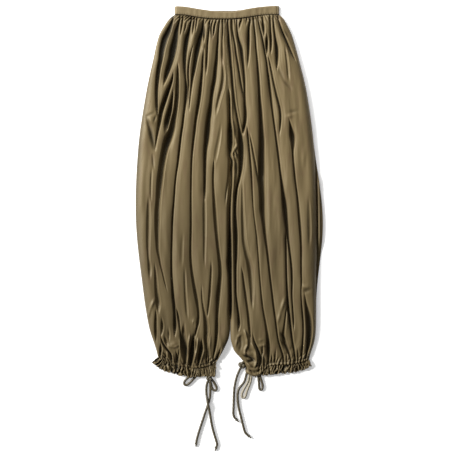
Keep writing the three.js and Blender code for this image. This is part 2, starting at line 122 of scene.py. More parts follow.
def uneven(u: Array, v: Array, seed: int) -> Array:
    """Reads a smooth field of chance heights from -1 to 1, one for each whole step of u and v.

    Args:
        u: Places one way, in steps.
        v: Places the other way, in steps.
        seed: Which field it is.

    Returns:
        The heights.
    """
    size = 128
    heights = np.random.default_rng(seed).uniform(-1, 1, (size, size))
    i = np.floor(u).astype(int)
    j = np.floor(v).astype(int)
    s = smoothstep(0, 1, u - i)
    t = smoothstep(0, 1, v - j)
    near = blend(heights[i % size, j % size], heights[(i + 1) % size, j % size], s)
    far = blend(heights[i % size, (j + 1) % size], heights[(i + 1) % size, (j + 1) % size], s)
    return blend(near, far, t)


def height_of(down: Array) -> Array:
    """Turns a distance down the garment into a place on the Y axis, in millimetres."""
    return LENGTH / 2 - down


@dataclass(frozen=True)
class Line:
    """A curve given by its values at some rising places."""

    places: tuple[float, ...]
    values: tuple[float, ...]

    def at(self, spot: Array) -> Array:
        """Reads the curve."""
        return through(self.places, self.values, spot)


class Drawing:
    """The drawing that the folds are set out on, in units of 2.8 mm, which the camera frames too."""

    UNIT = 2.8
    MIDDLE = 229.5
    TOP = 7.0
    SIDE = 460.0

    @staticmethod
    def across(x: Array) -> Array:
        """Gives the distance across for a place on the drawing, in millimetres."""
        return (x - Drawing.MIDDLE) * Drawing.UNIT

    @staticmethod
    def down(y: Array) -> Array:
        """Gives the distance down for a place on the drawing, in millimetres."""
        return (y - Drawing.TOP) * Drawing.UNIT


@dataclass(frozen=True)
class Trough:
    """A fold's trough down the cloth, through points of the drawing: across, down and half width.

    "strength" is how deep it is for its width, "left" and "right" how far its shoulders reach, and
    "lip" how far the cloth stands up on its lit side, all in millimetres.
    """

    path: tuple[tuple[float, float, float], ...]
    strength: float = 1.0
    left: float = 17.0
    right: float = 14.0
    lip: float = 0.4

    AT_WAIST = 20.0
    AT_HEM = 356.0
    FADE_IN = 30.0
    FADE_OUT = 6.0
    GATHERED = (70, 150)
    CALM_FROM = (330, 560)
    CALM_TO = (900, 965)
    FULL_STRENGTH = 0.9
    SHARP_STRENGTH = 0.85
    WIDE = 3.2
    LEAST_DEPTH = 1.5
    DEPTH_FOR_WIDTH = 3.1
    WALL_PART = 0.76
    SHOULDER_PART = 0.34
    LIP_FROM_FLOOR = 3.6
    LIP_WIDTH = 2.2

    def fade(self, downs: Array, down: Array) -> Array:
        """Gives 1 along the trough and 0 past its ends, but for those that run into a seam.

        Args:
            downs: How far down the path's points are.
            down: Places down.

        Returns:
            The share of its depth that is left.
        """
        fade = np.ones_like(down)
        if self.path[-1][1] < self.AT_HEM:
            fade = 1 - smoothstep(downs[-1] - self.FADE_IN, downs[-1] + self.FADE_OUT, down)
        if self.path[0][1] > self.AT_WAIST:
            fade = fade * smoothstep(downs[0] - self.FADE_OUT, downs[0] + self.FADE_IN, down)
        return fade

    def calmer(self, down: Array) -> Array:
        """Gives the share of its depth that a weak trough keeps between the knee and the hem."""
        least = 0.55 + 0.45 * min(1.0, max(0.0, (self.strength - self.FULL_STRENGTH) / 0.25))
        return blend(1.0, least, smoothstep(*self.CALM_FROM, down) * (1 - smoothstep(*self.CALM_TO, down)))

    def softness(self, half: Array, down: Array) -> Array:
        """Gives how far the walls' slope reaches: least at the waist, most for weak or wide troughs.

        Args:
            half: The trough's half width.
            down: Places down.

        Returns:
            The reach in millimetres.
        """
        weak = max(0.0, self.SHARP_STRENGTH - self.strength)
        soft = blend(0.45, 1.3, smoothstep(70, 220, down)) + 5.0 * weak
        return soft + 0.8 * np.clip(half - self.WIDE, 0, 3) * smoothstep(200, 400, down)

    def cut(self, across: Array, down: Array) -> tuple[Array, Array]:
        """Gives how deep the trough cuts and how far its lip stands up at each point.

        Args:
            across: Places across.
            down: Places down.

        Returns:
            The depth and the lip's height, in millimetres.
        """
        path = np.array(self.path)
        downs = Drawing.down(path[:, 1])
        middle = through(downs, Drawing.across(path[:, 0]), down)
        half = through(downs, path[:, 2] * Drawing.UNIT, down)
        fade = self.fade(downs, down)
        keener = blend(1.6, 1.0, smoothstep(*self.GATHERED, down))
        depth = self.strength * (self.LEAST_DEPTH + self.DEPTH_FOR_WIDTH * half)
        depth = depth * fade * self.calmer(down) * keener
        offset = across - middle
        shaded = offset < 0
        away = np.abs(offset)
        floor = np.maximum(half - 1.3, 0.4)
        start = np.where(shaded, 0.3, 0.62) * floor
        slope = np.where(shaded, 0.9, 0.5) * floor + self.softness(half, down)
        wall = 1 - smoothstep(0, 1, (away - start) / slope)
        reach = np.where(shaded, self.left, self.right) + half
        shoulder = (1 - np.clip(away / reach, 0, 1)) ** 2
        lit = blend(2.1, 0.8, smoothstep(220, 520, down)) + 1.7 * smoothstep(850, 940, down)
        from_lip = (offset - floor - self.LIP_FROM_FLOOR) / self.LIP_WIDTH
        rise = self.lip * lit * np.exp(-(from_lip**2)) * fade
        return depth * (self.WALL_PART * wall + self.SHOULDER_PART * shoulder), rise


@dataclass(frozen=True)
class Crease:
    """A short trough, or a ridge where its depth is below zero, between two points of the drawing."""

    start: tuple[float, float]
    end: tuple[float, float]
    width: float
    depth: float

    AT_ENDS = 0.35

    def dent(self, across: Array, down: Array) -> Array:
        """Gives how much the crease takes off the height at each point.

        Args:
            across: Places across.
            down: Places down.

        Returns:
            The dent in millimetres.
        """
        ax, ay = Drawing.across(self.start[0]), Drawing.down(self.start[1])
        bx, by = Drawing.across(self.end[0]), Drawing.down(self.end[1])
        length = math.hypot(bx - ax, by - ay)
        ux, uy = (bx - ax) / length, (by - ay) / length
        along = (across - ax) * ux + (down - ay) * uy
        aside = (down - ay) * ux - (across - ax) * uy
        share = np.clip(along / length, 0, 1)
        beyond = along - share * length
        taper = self.AT_ENDS + (1 - self.AT_ENDS) * np.sin(math.pi * share)
        distance = np.hypot(aside, beyond) / (self.width * Drawing.UNIT)
        return self.depth * taper * np.exp(-(distance**2))


class Side(Enum):
    """Which leg, as the picture shows them: its number is the sign of its places across."""

    LEFT = -1
    RIGHT = 1


CENTRE = Line(STATIONS, (-13, -10, -7, -1, 3, 0, 3, 2, 2, 2))
PARTING = {
    Side.LEFT: Line((905, 930, 960, 985, 1000), (0, -4, -16, -29, -38)),
    Side.RIGHT: Line((905, 925, 948, 957, 964, 971, 977, 988, 1000), (0, 2, 10.5, 19, 27, 34, 39, 42, 42)),
}
WAIST_LINE = Line(
    (-153, -138, -122, -105, -88, -71, -50, -20, 0, 13, 30, 46, 63, 80, 97, 113, 139),
    (22.5, 23.2, 24.1, 27.2, 30.2, 32.3, 34.2, 34.8, 34.8, 34.2, 33, 30.8, 28.4, 25.6, 23.4, 22.4, 22.4),
)
HEM_LINE = {
    Side.LEFT: Line(
        (-205, -180, -152, -125, -97, -69, -49, -36),
        (978, 989, 1000, 1007, 1009.5, 1006, 999, 993),
    ),
    Side.RIGHT: Line(
        (44, 52, 62, 76, 86, 95, 106, 130, 170, 211, 226),
        (1020, 1027, 1031, 1033, 1029, 1016, 1006, 1001, 999, 990, 983),
    ),
}
SIDE_STATIONS = (36, 46, 60, 90, 150, 250, 400, 600, 800, 900, 950, 1000)
SIDE_LINE = {
    Side.LEFT: Line(SIDE_STATIONS, (-154, -167, -179, -198, -214, -235, -256, -262, -241, -225, -213, -200)),
    Side.RIGHT: Line(SIDE_STATIONS, (140, 150, 160, 176, 195, 218, 237, 245, 242, 242, 237, 223)),
}
BACK_SIDE_LINE = {
    Side.LEFT: SIDE_LINE[Side.LEFT],
    Side.RIGHT: Line(SIDE_STATIONS, (140, 150, 160, 176, 195, 218, 238, 261, 244, 242, 237, 223)),
}
LAY_DOWN = (36, 60, 90, 150, 250, 400, 600, 800, 900, 950, 985, 1000)
LAY_CROWN = Line(LAY_DOWN, (10, 15, 17.5, 19.5, 21, 22, 22, 20.5, 18.5, 16.5, 14, 11.5))
LAY_INNER = Line(LAY_DOWN, (10, 15, 17.5, 19.3, 18, 17, 15.5, 13, 8.5, 8, 8.5, 8.5))
LEFT_RIM_SHADE = Line(
    (36, 100, 180, 260, 320, 420, 600, 760, 1000),
    (0, 0.05, 0.3, 0.45, 0.5, 0.64, 0.42, 0.38, 0.2),
)

TROUGHS = (
    # Left leg, from the waist down.
    Trough(((173, 20, 1), (168.5, 32, 2.6), (165, 40, 3), (162.5, 50, 2.8), (161, 60, 2.4), (159, 70, 2.2),
        (157.8, 80, 2), (157, 90, 1.7), (157, 100, 1.5), (157.5, 110, 1.2), (158.5, 117, 0.7)), 1.1),
    Trough(((180, 20, 0.8), (177, 30, 2), (175.5, 40, 2.8), (173.5, 50, 3.4), (171.5, 60, 3),
        (168.5, 70, 2.6), (165.5, 80, 1.6), (164, 87, 0.6)), 1.1),
    Trough(((183, 20, 0.8), (181.6, 29, 0.9), (180.3, 37, 0.6)), 0.8, 6, 6),
    Trough(((174, 72, 0.6), (172, 82, 1.3), (168.3, 92, 2), (164.5, 103, 2.2), (161.5, 113, 2),
        (160, 122, 1.7), (158.2, 132, 1.2), (156.5, 142, 0.9), (155.4, 151, 0.6)), 1, 9, 9),
    Trough(((173.8, 90, 0.7), (172, 102, 1.4), (170, 112, 2.2), (167.5, 122, 2.2), (166, 133, 1.5)), 0.9,
        8, 8),
    Trough(((178.2, 64, 0.7), (178, 80, 1.6), (177.5, 95, 2), (176, 110, 2), (174, 120, 2.4),
        (172, 130, 2.8), (168.5, 140, 3.3), (165.5, 150, 2.8), (163.5, 160, 2.6), (162, 170, 2.5),
        (160.8, 180, 2.6), (159.8, 190, 2.4), (159, 200, 2.2), (158.2, 210, 2.2), (158, 220, 2.2),
        (157.8, 230, 2), (158, 240, 1.8), (158.3, 250, 1.5), (159.5, 257, 1.2), (161, 265, 1),
        (162.8, 272, 0.9), (164.2, 278, 0.8), (166, 285, 0.7), (168, 292, 0.5)), 0.85),
    Trough(((191.5, 20, 0.9), (189.5, 30, 1.4), (187, 40, 2.2), (185.5, 50, 2.2), (184.8, 60, 1.9),
        (185, 70, 1.4), (185.8, 80, 1), (186.5, 89, 1.4), (186, 99, 1.4), (185, 108, 1.2), (184, 116, 1.1),
        (183, 125, 1.1), (181.5, 135, 1.1), (180.3, 145, 1.1), (179.2, 155, 1.1), (178, 165, 1),
        (176.5, 175, 0.9), (175.4, 185, 0.9), (174.7, 195, 0.9), (174, 205, 0.9), (173.3, 213, 1),
        (172.8, 222, 1), (172.5, 232, 0.9), (172.2, 242, 0.9), (171.9, 252, 0.9), (171.8, 262, 1),
        (171.9, 272, 1.1), (172.4, 282, 1.2), (173, 290, 1.3), (173.6, 298, 1.4), (174.4, 305, 1.4),
        (175, 315, 1.3), (175.3, 325, 1.5), (175, 336, 1)), 1.15),
    Trough(((187, 21, 0.7), (185.6, 28, 0.8), (184.3, 34, 0.5)), 0.7, 5, 5),
    Trough(((194.5, 20, 0.8), (193.4, 28, 0.9), (192.6, 36, 0.5)), 0.8, 6, 6),
    Trough(((193.4, 46, 0.5), (191.1, 54, 0.7), (189.3, 64, 0.8), (188.4, 74, 0.9), (188.8, 84, 0.9),
        (188.4, 94, 0.8), (187.6, 106, 0.5)), 0.8, 6, 7),
    Trough(((203.6, 20, 0.8), (202.5, 30, 1.6), (199.8, 40, 2.3), (197.5, 50, 2.6), (195.8, 60, 2.2),
        (194.2, 70, 1.9), (192.4, 80, 1.4), (191.2, 90, 1), (190, 102, 0.7), (189.4, 112, 0.5)), 1.05),
    Trough(((197, 20, 0.7), (196.2, 26, 0.8), (195.6, 33, 0.5)), 0.7, 5, 5),
    Trough(((204.6, 26, 0.8), (204.2, 35, 1.2), (204, 43, 0.7)), 0.8, 5, 4),
    Trough(((203.9, 50, 0.8), (203, 60, 1.1), (202.5, 70, 1.2), (201.6, 80, 1.4), (200.6, 90, 1.6),
        (199.4, 100, 1.6), (197.8, 110, 1.5), (195.9, 122, 1.3), (194.8, 132, 1.3), (193.6, 142, 1.2),
        (192.6, 152, 1.1), (191.9, 162, 1), (191.6, 172, 1), (191.4, 182, 1), (191.2, 195, 1),
        (191.2, 210, 1.1), (191.3, 220, 1.1), (191.2, 232, 1.1), (190.9, 244, 1.1), (190.9, 256, 1.2),
        (191.6, 267, 1.3), (192.8, 276, 1.4), (194.1, 284, 1.5), (195.4, 291, 1.6), (197, 300, 1.5),
        (198.1, 307, 1.3), (198.7, 314, 1.2), (198.4, 321, 1.2), (197, 328, 1), (195.2, 335, 1),
        (194, 341, 0.8)), 1),
    Trough(((210, 20, 0.7), (208.9, 33, 0.9), (207.7, 45, 1), (207.2, 55, 1.1), (206.6, 65, 1.1),
        (206.2, 76, 0.6)), 0.85, 7, 8),
    Trough(((213.2, 20, 0.7), (211.4, 26, 1), (211.2, 33, 1), (212, 40, 0.6)), 0.85, 6, 5),
    Trough(((216.3, 20, 0.7), (214.7, 26, 0.9), (213.8, 33, 1), (212.7, 39, 0.6)), 0.8, 5, 6),
    Trough(((219.8, 20, 0.7), (218.5, 32, 0.9), (218, 42, 1.1), (217.3, 50, 1.3), (216.7, 60, 1.6),
        (215.6, 70, 1.8), (214.6, 80, 1.9), (213.1, 88, 1.9), (211.9, 96, 1.7), (210.9, 105, 1.7),
        (210, 112, 2), (208.7, 121, 2.1), (207.8, 131, 2.2), (206.8, 141, 2), (205.7, 150, 1.7),
        (205.2, 160, 1.5), (205.1, 170, 1.4), (205, 180, 1.3), (204.8, 190, 1.2), (204.7, 200, 1.1)),
        1.15),
    Trough(((204.7, 194, 0.9), (204.8, 210, 1.3), (204.9, 225, 1.3), (204.9, 240, 1.1), (204.7, 255, 0.9),
        (205, 268, 0.5)), 0.4),
    Trough(((222.8, 20, 0.7), (222.8, 32, 0.8), (222.2, 42, 0.7), (222.3, 54, 1), (222.6, 66, 0.8)), 0.6),
    Trough(((222.4, 62, 0.6), (223.6, 76, 1.3), (222.4, 88, 1.6), (220, 97, 1.5), (217.6, 107, 1.2),
        (215.6, 117, 0.6)), 0.3),
    Trough(((221, 124, 0.6), (219.4, 138, 1.2), (216.8, 152, 1.4), (214.4, 166, 0.8)), 0.18),
    Trough(((214.2, 160, 0.6), (213.6, 170, 1), (213.3, 180, 1.1), (213.6, 190, 1.2), (214.2, 200, 1.4),
        (215, 212, 1.6), (216, 225, 1.6), (217, 236, 1.5), (218, 246, 1.5), (219.2, 256, 1.5),
        (220.2, 265, 1.6), (220.5, 273, 1.7), (220, 281, 1.7), (219.2, 289, 1.8), (218.3, 298, 1.8),
        (217.7, 308, 1.5), (217.2, 318, 1.4), (217, 329, 1.6), (216.2, 340, 1.4), (215, 348, 1.2),
        (213.2, 357, 0.8)), 0.95),
    Trough(((211.6, 260, 0.6), (211.3, 271, 1), (210.7, 282, 1.1), (210.1, 291, 1.2), (209.2, 301, 1.1),
        (208.1, 311, 0.9), (207.2, 320, 0.6)), 0.8, 8, 10),
    Trough(((229.7, 168, 0.5), (228.2, 180, 0.7), (226.6, 192, 0.8), (225.3, 206, 0.5)), 0.55, 8, 8),
    Trough(((149.3, 196, 0.8), (149.2, 212, 1.5), (149, 228, 1.6), (148.7, 244, 1.4), (149.2, 258, 1),
        (150.3, 268, 1.4), (150.2, 280, 0.8)), 0.5),
    Trough(((152.4, 168, 0.6), (151.6, 186, 0.8), (151.4, 204, 0.6)), 0.4, 8, 8),
    Trough(((155.2, 262, 0.6), (156.3, 278, 1.3), (157.1, 290, 1.6), (158.6, 302, 1.9), (158.8, 314, 0.9)),
        0.7, 8, 16),
    Trough(((156.6, 308, 0.6), (156.2, 318, 1.2), (156, 328, 1.4), (156.2, 336, 1.2), (156.8, 343, 0.5)),
        0.95, 9, 8),
    Trough(((183.2, 232, 0.7), (182.3, 248, 1.1), (181.8, 260, 1.2), (181.4, 269, 0.6)), 0.18, 12, 12),
    Trough(((185, 266, 0.6), (185.3, 280, 0.9), (185.8, 293, 1), (186.8, 307, 1.1), (188, 320, 0.7)), 0.4,
        10, 10),
    Trough(((176.4, 306, 0.6), (177.6, 312, 1.1), (178.9, 319, 1.2), (179.9, 326, 0.9), (180.9, 334, 0.9),
        (181.3, 342, 1), (180.8, 350, 0.7)), 1, 7, 8),
    Trough(((184.6, 322, 0.8), (183.7, 334, 2), (184, 344, 2.6), (184.6, 352, 2.2), (184.6, 361, 1)), 0.7,
        8, 8),
    Trough(((202, 284, 0.5), (202.2, 297, 0.8), (203.3, 306, 1.1), (204.9, 314, 1.4), (206.3, 322, 1.9),
        (206.7, 331, 2), (206, 339, 1.6), (206.5, 346, 1.4), (207.2, 352, 1.2), (206.6, 359, 0.8)), 0.75,
        10, 8),
    Trough(((193.9, 333, 0.8), (193, 342, 1.6), (192.3, 350, 2), (191.5, 357, 2), (190.6, 365, 1.2)), 1.1,
        7, 7),
    Trough(((202, 338, 0.7), (201.2, 349, 1.8), (199.6, 357, 1.7), (198.4, 365, 0.9)), 0.95, 7, 7),
    Trough(((196.2, 337, 0.6), (196.4, 344, 0.7), (195.8, 352, 0.6)), 0.6, 5, 5),
    Trough(((161.9, 316, 0.6), (162.6, 324, 1.3), (162.2, 331, 1.2), (161, 337, 0.8)), 0.9, 8, 7),
    Trough(((161, 335, 0.7), (162.4, 341, 1.1), (164.6, 345.5, 1.3), (167.3, 349, 1.3), (170, 352.5, 1.3),
        (171.6, 357, 1.2), (171.8, 363, 0.8)), 1.05, 7, 7),
    Trough(((165, 335, 0.8), (166.4, 341, 1.6), (168.2, 347, 1)), 0.8, 6, 6),
    Trough(((168.7, 326, 0.6), (169.2, 334, 1), (169.2, 341, 0.6)), 0.7, 7, 7),
    Trough(((161.2, 342, 0.7), (161, 349, 1.3), (160.4, 356, 1)), 1, 6, 6),
    Trough(((165.4, 350, 0.7), (165.7, 355, 1), (165.8, 361, 0.8)), 0.9, 5, 5),
    Trough(((176.3, 350, 0.7), (177, 356, 1.1), (176.5, 363, 0.8)), 0.9, 5, 5),
    Trough(((180, 348, 0.7), (178.9, 354, 1), (178, 359, 0.9)), 0.9, 5, 5),
    Trough(((186.8, 340, 0.7), (186.4, 350, 1.3), (185.8, 362, 1)), 0.8, 6, 6),
    Trough(((209.4, 344, 0.6), (209, 352, 0.9), (208.6, 362, 0.8)), 0.9, 6, 6),
    Trough(((221.5, 346, 0.6), (219, 353, 1), (216, 360, 1.2), (213.5, 366, 0.8)), 0.6, 6, 6),
    # The centre line.
    Trough(((229, 90, 0.7), (229.5, 100, 1), (229.8, 112, 1.1), (230, 122, 1.3), (230.3, 131, 2.1),
        (230.4, 141, 2.2), (230, 150, 1.8), (229.8, 156, 1.1), (232, 162, 1.3), (231.4, 170, 1.3),
        (231.7, 180, 1), (231.3, 190, 1), (230.5, 200, 0.9), (229.9, 212, 1), (229.8, 225, 1.2),
        (229.9, 235, 1.5), (229.8, 245, 1.8), (229.6, 255, 2), (229.6, 262, 2.2), (229.8, 270, 2),
        (230.3, 278, 1.6), (230.5, 290, 1.5), (230.7, 305, 1.5), (230.4, 320, 1.2)), 1.1, 10, 5, 2),
    # Right leg, from the waist down.
    Trough(((227.4, 20, 0.8), (228.5, 35, 1.2), (229, 45, 1.5), (230, 55, 1.5), (230.8, 65, 1.4),
        (231.8, 75, 1.3), (232.5, 85, 1.3), (233.5, 95, 1.3), (234.7, 105, 1.2), (236.2, 113, 1.1),
        (237.7, 121, 1.1), (239.3, 130, 1.3), (240.7, 140, 2.1), (241.2, 150, 2.2), (241.2, 160, 2),
        (240.6, 170, 1.6), (239, 180, 1.2), (237, 188, 1.2), (235.8, 196, 1.4), (235.2, 205, 1.4),
        (235.1, 214, 1.4), (235.5, 224, 1.6), (236, 235, 1.7), (236, 246, 1.6), (236, 257, 1.4),
        (235.6, 268, 1.2), (235.7, 280, 1.1), (236, 294, 1), (237.4, 306, 1.1), (238.6, 316, 1.2),
        (239, 324, 1.3), (238.2, 331, 0.8)), 1.15, 12, 14, 1.2),
    Trough(((232, 20, 0.8), (232.2, 30, 0.9), (233.5, 38, 1), (235, 46, 1), (236.1, 55, 1.1),
        (237.8, 65, 1.1), (239.4, 75, 1), (241, 85, 1), (242.9, 94, 0.8), (244, 101, 0.6)), 1.05, 8, 9),
    Trough(((236.6, 20, 0.8), (237.3, 32, 0.9), (238.5, 40, 1.3), (241, 49, 1.8), (242.2, 58, 1.6),
        (243.3, 68, 1.3), (244.3, 80, 1.2), (244.6, 92, 1.1), (244.8, 104, 1.3), (245.4, 114, 1.5),
        (245, 122, 1.5), (243.5, 130, 1.4), (241.8, 137, 0.9)), 1.1, 10, 10),
    Trough(((241.6, 20, 0.9), (239.8, 25, 1.1), (239, 31, 0.6)), 0.9, 5, 5),
    Trough(((246.5, 20, 1), (246, 26, 0.7)), 0.9, 5, 5),
    Trough(((250.2, 20, 0.8), (248.8, 30, 1.2), (248.5, 41, 1.5), (248.3, 52, 1.3), (247.9, 61, 0.9),
        (247.4, 69, 0.5)), 1, 8, 8),
    Trough(((253.4, 20, 0.8), (254.2, 28, 0.9), (255.2, 38, 1), (255.8, 48, 1), (257, 60, 1.1),
        (257.8, 70, 1.2), (258.5, 80, 1.3), (259.1, 90, 1.3), (259.6, 100, 1.5), (260.4, 110, 1.7),
        (260.9, 120, 1.8), (261.4, 130, 2), (261.8, 140, 2.3), (261.8, 150, 2.4), (261.6, 160, 2.6),
        (261.5, 170, 2.8), (261.4, 180, 2.7), (261.8, 190, 2.4), (262.3, 200, 2.3), (262.4, 210, 2.2),
        (263.2, 219, 1.8), (264.1, 227, 1.5), (264.9, 235, 1.4), (266, 243, 1.3), (267.1, 251, 1.2),
        (268, 259, 1.2), (269, 268, 1.1), (270, 277, 1.1), (271.1, 286, 1.1), (272.2, 295, 1.1),
        (273.2, 304, 1.1), (274.3, 312, 1.1), (275.4, 320, 1), (276.5, 329, 1), (277.6, 337, 0.9),
        (279.2, 344, 1), (281.1, 350, 1.1), (282.8, 356, 1.1), (283.5, 363, 0.8)), 1),
    Trough(((258, 20, 0.7), (260, 30, 0.9), (262, 38, 1), (263.5, 46, 1.1), (265, 55, 1.1), (266.5, 63, 1),
        (267.4, 71, 1.1), (268.5, 79, 1.3), (269.5, 88, 1.3), (270.5, 96, 1.2), (271.5, 105, 1.1),
        (272.6, 114, 1), (273.8, 123, 1), (275, 132, 1), (276.3, 142, 1.1), (277.5, 151, 1.1),
        (278.6, 160, 1.1), (279.6, 169, 1.1), (280.8, 178, 1.2), (282, 187, 1.4), (283.1, 195, 1.7),
        (284.2, 203, 2), (285, 211, 2), (285.9, 220, 1.8), (286.8, 229, 1.6), (287.8, 238, 1.3),
        (288.9, 247, 1.2), (290.1, 256, 1.1), (291, 264, 1.1), (291.6, 273, 1.1), (291.8, 283, 1),
        (291.6, 292, 0.9), (291.9, 300, 0.8), (292.6, 310, 0.8), (293.2, 320, 0.9), (293.6, 330, 0.6)),
        1.1),
    Trough(((262.5, 20, 0.8), (263.4, 29, 1.3), (263.8, 38, 0.6)), 1, 6, 6),
    Trough(((267, 34, 0.6), (266.8, 42, 1.4), (266.6, 50, 1.4), (266.8, 57, 0.6)), 1, 6, 7),
    Trough(((267.8, 56, 0.6), (270, 66, 0.9), (271.6, 74, 0.9), (273.1, 82, 1), (274.6, 89, 1.1),
        (276.2, 96, 1.2), (278, 103, 1.2), (279.6, 110, 1.2), (280.3, 118, 1.1), (280, 126, 0.9),
        (279.1, 136, 0.6)), 0.9, 7, 12),
    Trough(((270, 20, 0.8), (270.4, 30, 0.9), (270.9, 40, 1.2), (270.8, 49, 1), (270.4, 56, 0.5)), 1, 6,
        7),
    Trough(((273.2, 20, 0.7), (274, 30, 0.9), (275.2, 39, 1.1), (276.5, 48, 1.7), (276.8, 56, 1.7),
        (276.7, 64, 1.2), (276.5, 72, 0.5)), 1.05, 7, 12),
    Trough(((278, 20, 0.7), (281.3, 30, 1.1), (284.1, 37, 1.3), (287.1, 44, 1.3), (290, 51, 1.2),
        (292.8, 57, 1), (296, 63, 0.6)), 1.1, 12, 6),
    Trough(((284.6, 46, 0.6), (286.6, 60, 1), (287.8, 72, 1), (288.6, 83, 0.6)), 0.3, 9, 9),
    Trough(((288.6, 119, 0.6), (290.4, 127, 1.3), (292, 136, 2.2), (292.6, 144, 1.7), (292.5, 152, 1.1),
        (293, 161, 1), (293.9, 170, 1), (294.9, 180, 1), (296.2, 190, 1), (297.4, 200, 1.1),
        (298.3, 210, 1.2), (299.1, 220, 1.3), (299.9, 230, 1.3), (300.5, 240, 1.2), (300.9, 250, 1.1),
        (300.9, 262, 1), (301, 273, 1), (301.2, 282, 0.9), (300.8, 291, 0.7), (301.2, 301, 0.8),
        (302, 311, 1), (302.8, 321, 1), (303, 331, 0.9), (302.5, 341, 0.9), (301.8, 351, 1),
        (301, 360, 0.7)), 1, 9, 13),
    Trough(((247, 126, 0.7), (248, 137, 0.9), (249, 148, 1), (250, 158, 1), (250.9, 168, 1),
        (251.6, 178, 1), (252.1, 188, 0.9), (252.6, 198, 0.8), (253.3, 209, 0.7), (254.4, 219, 0.7),
        (255.5, 228, 0.8), (256.5, 236, 0.8), (257.3, 245, 0.8), (258, 254, 0.8), (258.7, 263, 0.8),
        (259.3, 272, 0.8), (260.1, 282, 0.9), (261, 292, 0.9), (261.9, 301, 1), (263, 309, 1),
        (264.4, 317, 1.1), (265.8, 325, 1.2), (267.1, 333, 1.4), (268, 341, 1.6), (268.4, 350, 1.6),
        (268.4, 360, 1)), 0.9, 8, 9),
    Trough(((249.2, 133, 0.6), (251.2, 143, 0.8), (253.1, 153, 0.9), (254.8, 162, 0.9), (256.6, 172, 0.9),
        (258.2, 181, 0.8), (259.4, 190, 0.5)), 0.8, 5, 6),
    Trough(((242.3, 182, 0.6), (242.6, 200, 1), (243, 216, 1.4), (243.5, 228, 1.6), (244.1, 238, 1.7),
        (245.4, 247, 1.8), (247.2, 255, 1.9), (249.2, 262, 2.1), (250.6, 269, 2.2), (251.3, 277, 2.1),
        (251.9, 287, 1.8), (252, 298, 1.3), (252.4, 310, 0.6)), 0.52, 12, 12),
    Trough(((241.4, 266, 0.6), (243, 276, 1), (244.1, 285, 1.1), (245.3, 293, 1.2), (246.5, 302, 1.2),
        (247.5, 309, 1.2), (248.3, 316, 1.3), (249, 324, 1.3), (249.8, 332, 1.1), (250.6, 341, 0.7)), 0.95,
        9, 10),
    Trough(((252.6, 333, 0.5), (254, 340, 0.8), (256.3, 346, 1.1), (258.2, 351, 1.3), (260, 357, 1.3),
        (260.4, 362, 1.1), (259, 368, 0.8)), 1.15, 6, 6),
    Trough(((285.3, 231, 0.6), (285.8, 245, 0.9), (285.9, 256, 0.9), (286.1, 267, 0.9), (286.4, 277, 0.9),
        (286.8, 287, 1), (287.2, 296, 1.2), (287.7, 303, 1.3), (288.3, 310, 1.4), (289.2, 317, 1.3),
        (290.2, 325, 1.2), (291.2, 333, 1.1), (292.3, 341, 1), (293.7, 349, 1), (295, 358, 0.8)), 1.1, 8,
        7),
    Trough(((286.7, 305, 0.6), (285.6, 313, 0.9), (284.8, 320, 1), (284, 327, 1.2), (283.3, 335, 1.6),
        (284.6, 342, 1.7), (286.8, 348, 1.5), (289, 354, 1.2), (290.6, 361, 0.8)), 0.85, 12, 6),
    Trough(((308, 196, 0.6), (308.7, 214, 1.2), (309.1, 232, 1.3), (308.7, 248, 0.8)), 0.3, 12, 12),
    Trough(((304.2, 292, 0.5), (305.4, 302, 1.1), (307, 310, 1.8), (308.3, 317, 2.4), (309, 324, 2.6),
        (309.2, 331, 2.5), (308.7, 338, 2.2), (308, 345, 1.7), (306.8, 351, 1.3), (305.6, 358, 0.8)), 1, 9,
        8),
    Trough(((262.5, 343, 0.5), (262.2, 351, 0.9), (261.6, 360, 0.7)), 0.8, 6, 5),
    Trough(((276, 348, 0.5), (275, 356, 0.8), (274.6, 363, 0.7)), 0.8, 6, 5),
    Trough(((297.6, 348, 0.5), (297.8, 356, 0.8), (297.4, 363, 0.7)), 0.8, 6, 5),
    Trough(((271.2, 352, 0.5), (271.6, 358, 0.8), (271.4, 364, 0.7)), 0.8, 5, 5),
    Trough(((287, 352, 0.5), (286.4, 358, 0.8), (286.2, 364, 0.7)), 0.8, 5, 5),
)

